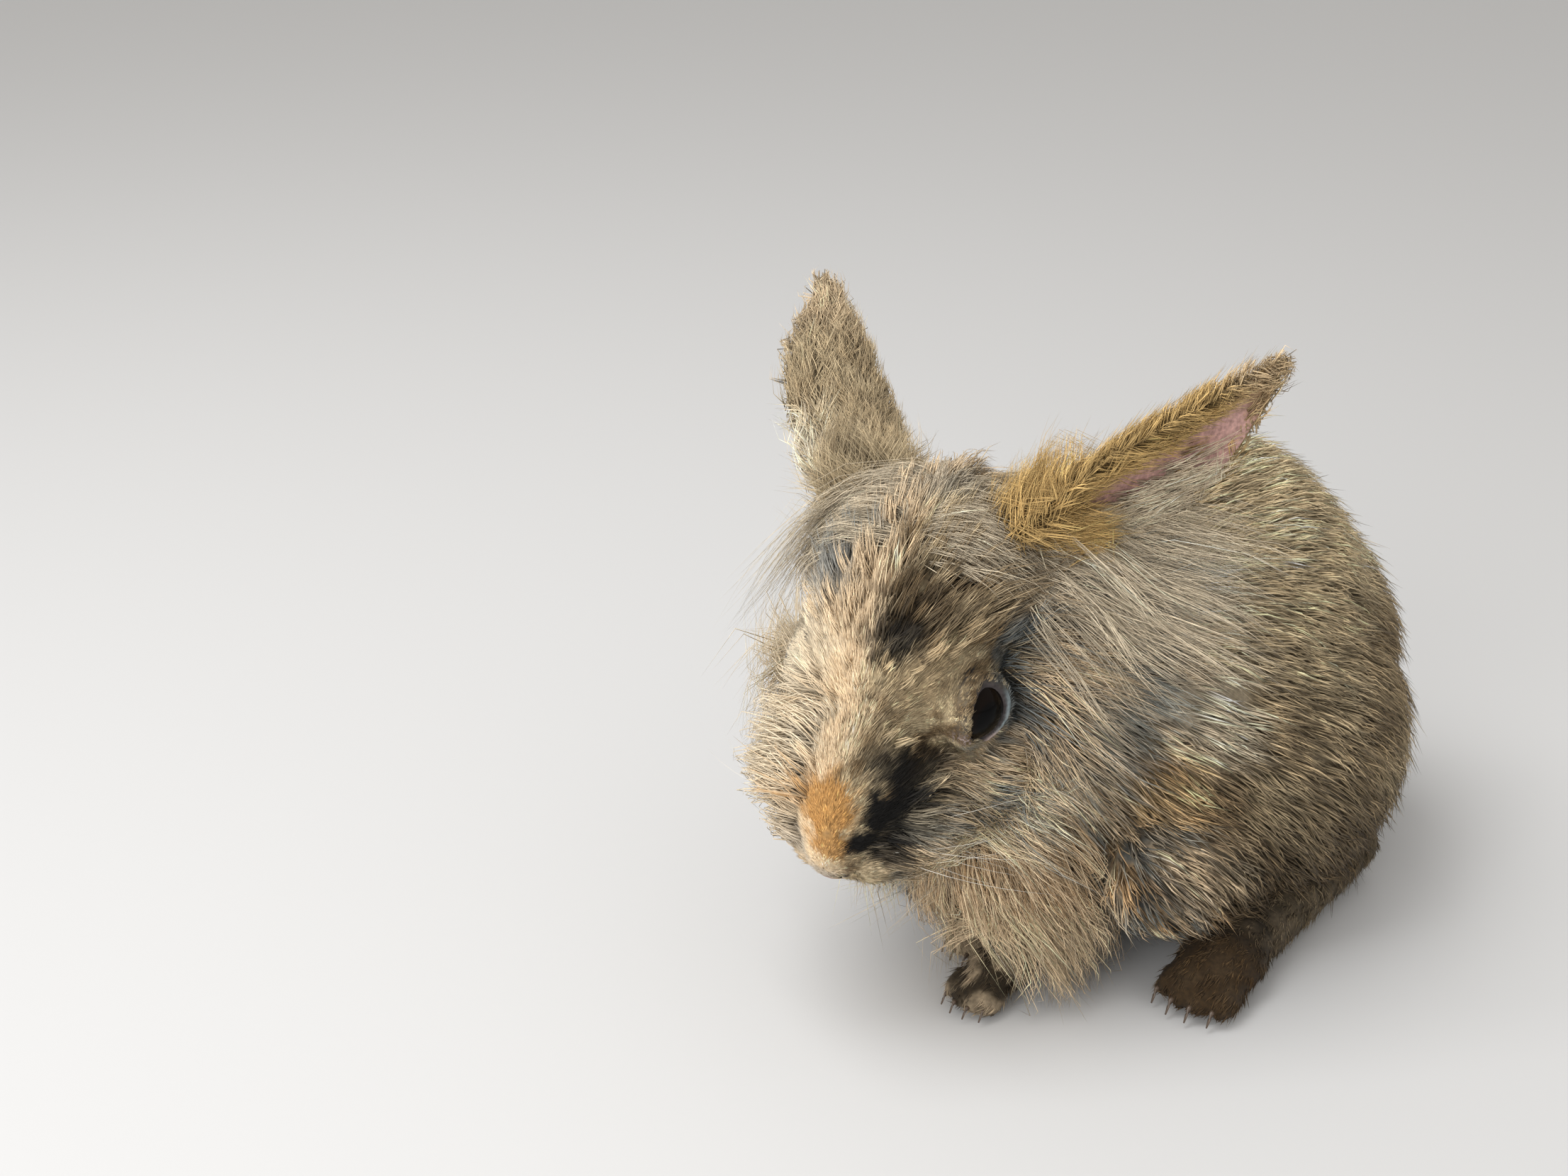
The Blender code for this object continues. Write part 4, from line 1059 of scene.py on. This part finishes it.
def ear_hair(name, surface, draw, lie, here, coloured, guides, each, lengths, widths, spread, lift=0.4,
             curl=0.9, gather=0.5, root_dark=0.5, tips=1.4, stations=4, longer=None):
    """One piece of the ear's hair; widths is one number, or the least and the greatest."""
    roots, normals = surface.scatter(here + LEAST, guides, draw)
    length = draw.uniform(*lengths, guides)
    if longer:
        length = length * longer(roots)
    lines, ups = march(surface, roots, normals, length, length * lift, stations, lie, curl, 0, SEED)
    places, tops, starts = clumps(lines, ups, each, np.full(guides, spread), gather, draw)
    colours = banded(starts, stations, coloured(starts), draw, each, root_dark, tips)
    count = len(starts)
    wide = draw.uniform(*widths, count) if isinstance(widths, tuple) else np.full(count, widths)
    dress(tuft_piece(name, places, tops, starts, colours, wide), FUR, "ear_fur")


def make_ear(side):
    """The ear's skin, then its fur outside, the fluff at its root and its long pale hair within."""
    ear = ear_skin(side)
    surface = Surface(ear)
    aim, opens = (np.array(ways[side].normalized()) for ways in (EAR_AIM, EAR_OPENS))
    middle = surface.points.mean(axis=0)
    along = (surface.points - middle) @ aim
    along = (along - along.min()) / (along.max() - along.min())
    inside = step_up(surface.normals @ opens, 0.05, 0.45)
    over = unit(np.cross(aim, opens))
    over = over * np.sign(over[2])
    across = (surface.points - middle) @ over
    edge = across.max()
    inside = inside * step_down(across, 0.15 * edge, 0.55 * edge) * (1 - 0.8 * step_up(along, 0.8, 0.92))
    add_colours(ear.data, ear_colour(surface.points, inside, side) * (0.45 + 0.4 * inside)[:, None])
    map_by_faces(ear.data, surface.points)
    dress(ear, SKIN_FUR, "ear_fur", "ear_" + side)

    def outward(points, normals):
        return flatten(np.broadcast_to(aim, points.shape), normals)

    def longer(roots):
        curly = step_down((roots - middle) @ aim, -0.03, -0.01)
        return 1 + 0.5 * curly + 0.35 * step_up((roots - middle) @ over, 0.2 * edge, 0.8 * edge)

    def plain(starts):
        return ear_colour(starts, np.zeros(len(starts)), side)

    def pale_edged(starts):
        ahead = (starts - middle) @ aim
        colour = blend(plain(starts), CREAM * 0.85, 0.7 * step_up(ahead, 0.02, 0.036))
        if side == "left":
            return colour
        upper = step_up((starts - middle) @ over, 0.6 * edge, 0.85 * edge)
        return blend(colour, WHITE, upper * step_up(-ahead, -0.004, 0.004))

    def white(starts):
        return np.tile(WHITE, (len(starts), 1))

    draw = np.random.default_rng(SEED + 100 + len(side))
    ear_hair("coat_ear_" + side, surface, draw, outward, 1 - inside + 0.02, pale_edged, guides=1000, each=9,
             lengths=(0.0055, 0.009), widths=(0.00028, 0.00042), spread=0.0024, gather=0.35, root_dark=0.55,
             stations=3, longer=longer)
    base = step_down(along, 0.1, 0.26) * (surface.points[:, 2] > middle[2] - 0.03)
    ear_hair("tuft_at_ear_" + side, surface, draw, outward, base, plain, guides=ROOT_TUFTS[side], each=22,
             lengths=(0.01, 0.016), widths=0.00026, spread=0.0046, lift=0.75)
    within = inside * step_down(along, 0.45, 0.72) * (across < -0.25 * edge)
    ear_hair("hair_in_ear_" + side, surface, draw, outward, within, white, guides=160, each=7,
             lengths=(0.009, 0.015), widths=0.0003, spread=0.002, curl=0.3, gather=0.4, root_dark=0.7,
             tips=None)


def mesh_from(bm, name):
    """The drawn form as a smooth mesh."""
    mesh = bpy.data.meshes.new(name)
    bm.to_mesh(mesh)
    bm.free()
    mesh.shade_smooth()
    return mesh


def ball(segments, rings):
    """A round ball's points and faces, from its lower pole to its upper one, always in one order."""
    level, turn = np.meshgrid(np.arange(1, rings) / rings, np.arange(segments) / segments * 2, indexing="ij")
    level, turn = level.ravel() * math.pi, turn.ravel() * math.pi
    sides = np.stack([np.sin(level) * np.cos(turn), np.sin(level) * np.sin(turn), -np.cos(level)], axis=1)
    top, faces = len(sides) + 1, []
    for j in range(segments):
        k = (j + 1) % segments
        faces.append((0, 1 + k, 1 + j))
        for low in range(1, top - segments, segments):
            faces.append((low + j, low + k, low + k + segments, low + j + segments))
        faces.append((top - segments + j, top - segments + k, top))
    return np.concatenate([[(0, 0, -1)], sides, [(0, 0, 1)]]), faces


def make_eye(side, label, material):
    """The eyeball: a dark ball with a slightly raised cornea and a brown iris round the pupil."""
    centre, axes = eye_axes(side)
    local, faces = ball(64, 40)
    local = local * EYE_RADIUS * (1 + CORNEA_BULGE * np.maximum(0, local[:, 2:] - CORNEA_FROM))
    turned = local @ axes.T + centre
    mesh = bpy.data.meshes.new("eyeball_" + label)
    mesh.from_pydata(turned.tolist(), [], faces)
    mesh.shade_smooth()
    eye = new_object("eyeball_" + label, mesh)
    out = np.hypot(local[:, 0], local[:, 1]) / EYE_RADIUS
    iris = step_up(out, 0.42, 0.55) * step_down(out, 0.8, 0.92) * (local[:, 2] > 0)
    add_colours(mesh, blend(EYE_DARK, IRIS, iris))
    map_by_faces(mesh, turned)
    dress(eye, material, "eye", "eye_" + label)


def closed_tube(bm, places, radii, sides):
    """A tapered tube along the places, closed at both ends."""
    rings = []
    for i, at in enumerate(places):
        ahead = (places[min(i + 1, len(places) - 1)] - places[max(i - 1, 0)]).normalized()
        across = ahead.orthogonal().normalized()
        lift = ahead.cross(across)
        ring = []
        for j in range(sides):
            angle = 2 * math.pi * j / sides
            ring.append(bm.verts.new(at + (across * math.cos(angle) + lift * math.sin(angle)) * radii[i]))
        rings.append(ring)
    for low, high in zip(rings, rings[1:]):
        for j in range(sides):
            k = (j + 1) % sides
            bm.faces.new((low[j], low[k], high[k], high[j]))
    bm.faces.new(list(reversed(rings[0])))
    bm.faces.new(rings[-1])


def make_whiskers():
    draw = np.random.default_rng(SEED + 120)
    bm = bmesh.new()
    steps = np.linspace(0, 1, WHISKER_STATIONS).tolist()
    for side in (1, -1):
        for i in range(WHISKER_ROWS * 3):
            start = Vector((0.0135 * side, -0.04 + 0.0035 * (i % 3), -0.004 - 0.004 * (i // 3)))
            way = Vector((side, draw.uniform(-0.1, 0.7), draw.uniform(-1.1, 0.1))).normalized()
            length = draw.uniform(0.022, 0.038)
            places = []
            for t in steps:
                bend = Vector((0, 0.3 * t, -0.35 * t)) * length * t
                at = HEAD @ (start + way * length * t + bend)
                at.z = max(at.z, 0.001)
                places.append(at)
            closed_tube(bm, places, [WHISKER_RADIUS * (1 - 0.85 * t) for t in steps], 6)
    whiskers = new_object("whiskers", mesh_from(bm, "whiskers"))
    dress(whiskers, horn_material("whisker_surface", WHISKER_COLOUR, 0.4), "face_fur")


def add_claw(bm, tip, ahead, down, radii):
    """A claw that runs forward from the tip of a toe and bends down."""
    places = [ROW @ (tip + Vector((0, ahead - down[0] * k, -down[1] * k * k / 3))) for k in range(len(radii))]
    closed_tube(bm, places, radii, 8)


def make_claws():
    bm = bmesh.new()
    for side in (1, -1):
        for toe in toe_places():
            reach = HIND_CLAW_REACH - HIND_TOE_CURVE * abs(toe)
            tip = Vector((HIND_TOES.x * side + toe * HIND_TOE_GAP, HIND_TOES.y - reach + 0.001, 0.005))
            add_claw(bm, tip, 0.0012, (0.001, 0.0011), HIND_CLAW)
    for _, paw in FOREPAWS:
        for toe in toe_places():
            reach = FORE_CLAW_REACH - FORE_TOE_CURVE * abs(toe)
            tip = paw + Vector((toe * FORE_TOE_GAP, -reach, -0.003))
            add_claw(bm, tip, 0.001, (0.0008, 0.0008), FORE_CLAW)
    claws = new_object("claws", mesh_from(bm, "claws"))
    dress(claws, horn_material("claw_surface", CLAW_COLOUR, 0.35), "leg_fur")


def make_stage():
    bpy.ops.mesh.primitive_plane_add(size=FLOOR_SIZE, location=(0, 0, 0))
    floor = bpy.context.object
    floor.name = "floor"
    surface, _, _, shader = new_material("floor_surface")
    set_inputs(shader, {"Base Color": FLOOR_COLOUR, "Roughness": 0.9})
    floor.data.materials.append(surface)
    world = bpy.data.worlds.new("room")
    world.use_nodes = True
    set_inputs(world.node_tree.nodes["Background"], ROOM_LIGHT)
    bpy.context.scene.world = world
    for name, at, size, power in LAMPS:
        light = bpy.data.lights.new(name, "AREA")
        light.energy, light.size = power, size
        turn = (LAMPS_AIM - Vector(at)).to_track_quat("-Z", "Y").to_matrix().to_4x4()
        new_object(name, light).matrix_world = Matrix.Translation(at) @ turn
    bpy.context.scene.view_settings.view_transform = "Standard"


def make_camera():
    lens = bpy.data.cameras.new("photo_camera")
    lens.sensor_width = SENSOR
    lens.lens = SENSOR * FOCAL_PIXELS / PHOTO_WIDTH
    lens.clip_start = 0.01
    camera = new_object("photo_camera", lens)
    a, e = CAMERA_AZIMUTH, CAMERA_ELEVATION
    back = Vector((math.sin(a) * math.cos(e), -math.cos(a) * math.cos(e), math.sin(e)))
    turn = back.to_track_quat("Z", "Y").to_matrix().to_4x4()
    camera.matrix_world = Matrix.Translation(CAMERA_AT + SHIFT) @ turn
    bpy.context.scene.camera = camera


make_camera()
make_stage()
skin = make_skin()
skin_surface = Surface(skin)
finish_skin(skin, skin_surface)
grow_coat(skin_surface)
grow_crown(skin_surface)
make_ear("left")
make_ear("right")
wet = eye_material()
make_eye(1, "left", wet)
make_eye(-1, "right", wet)
make_whiskers()
make_claws()
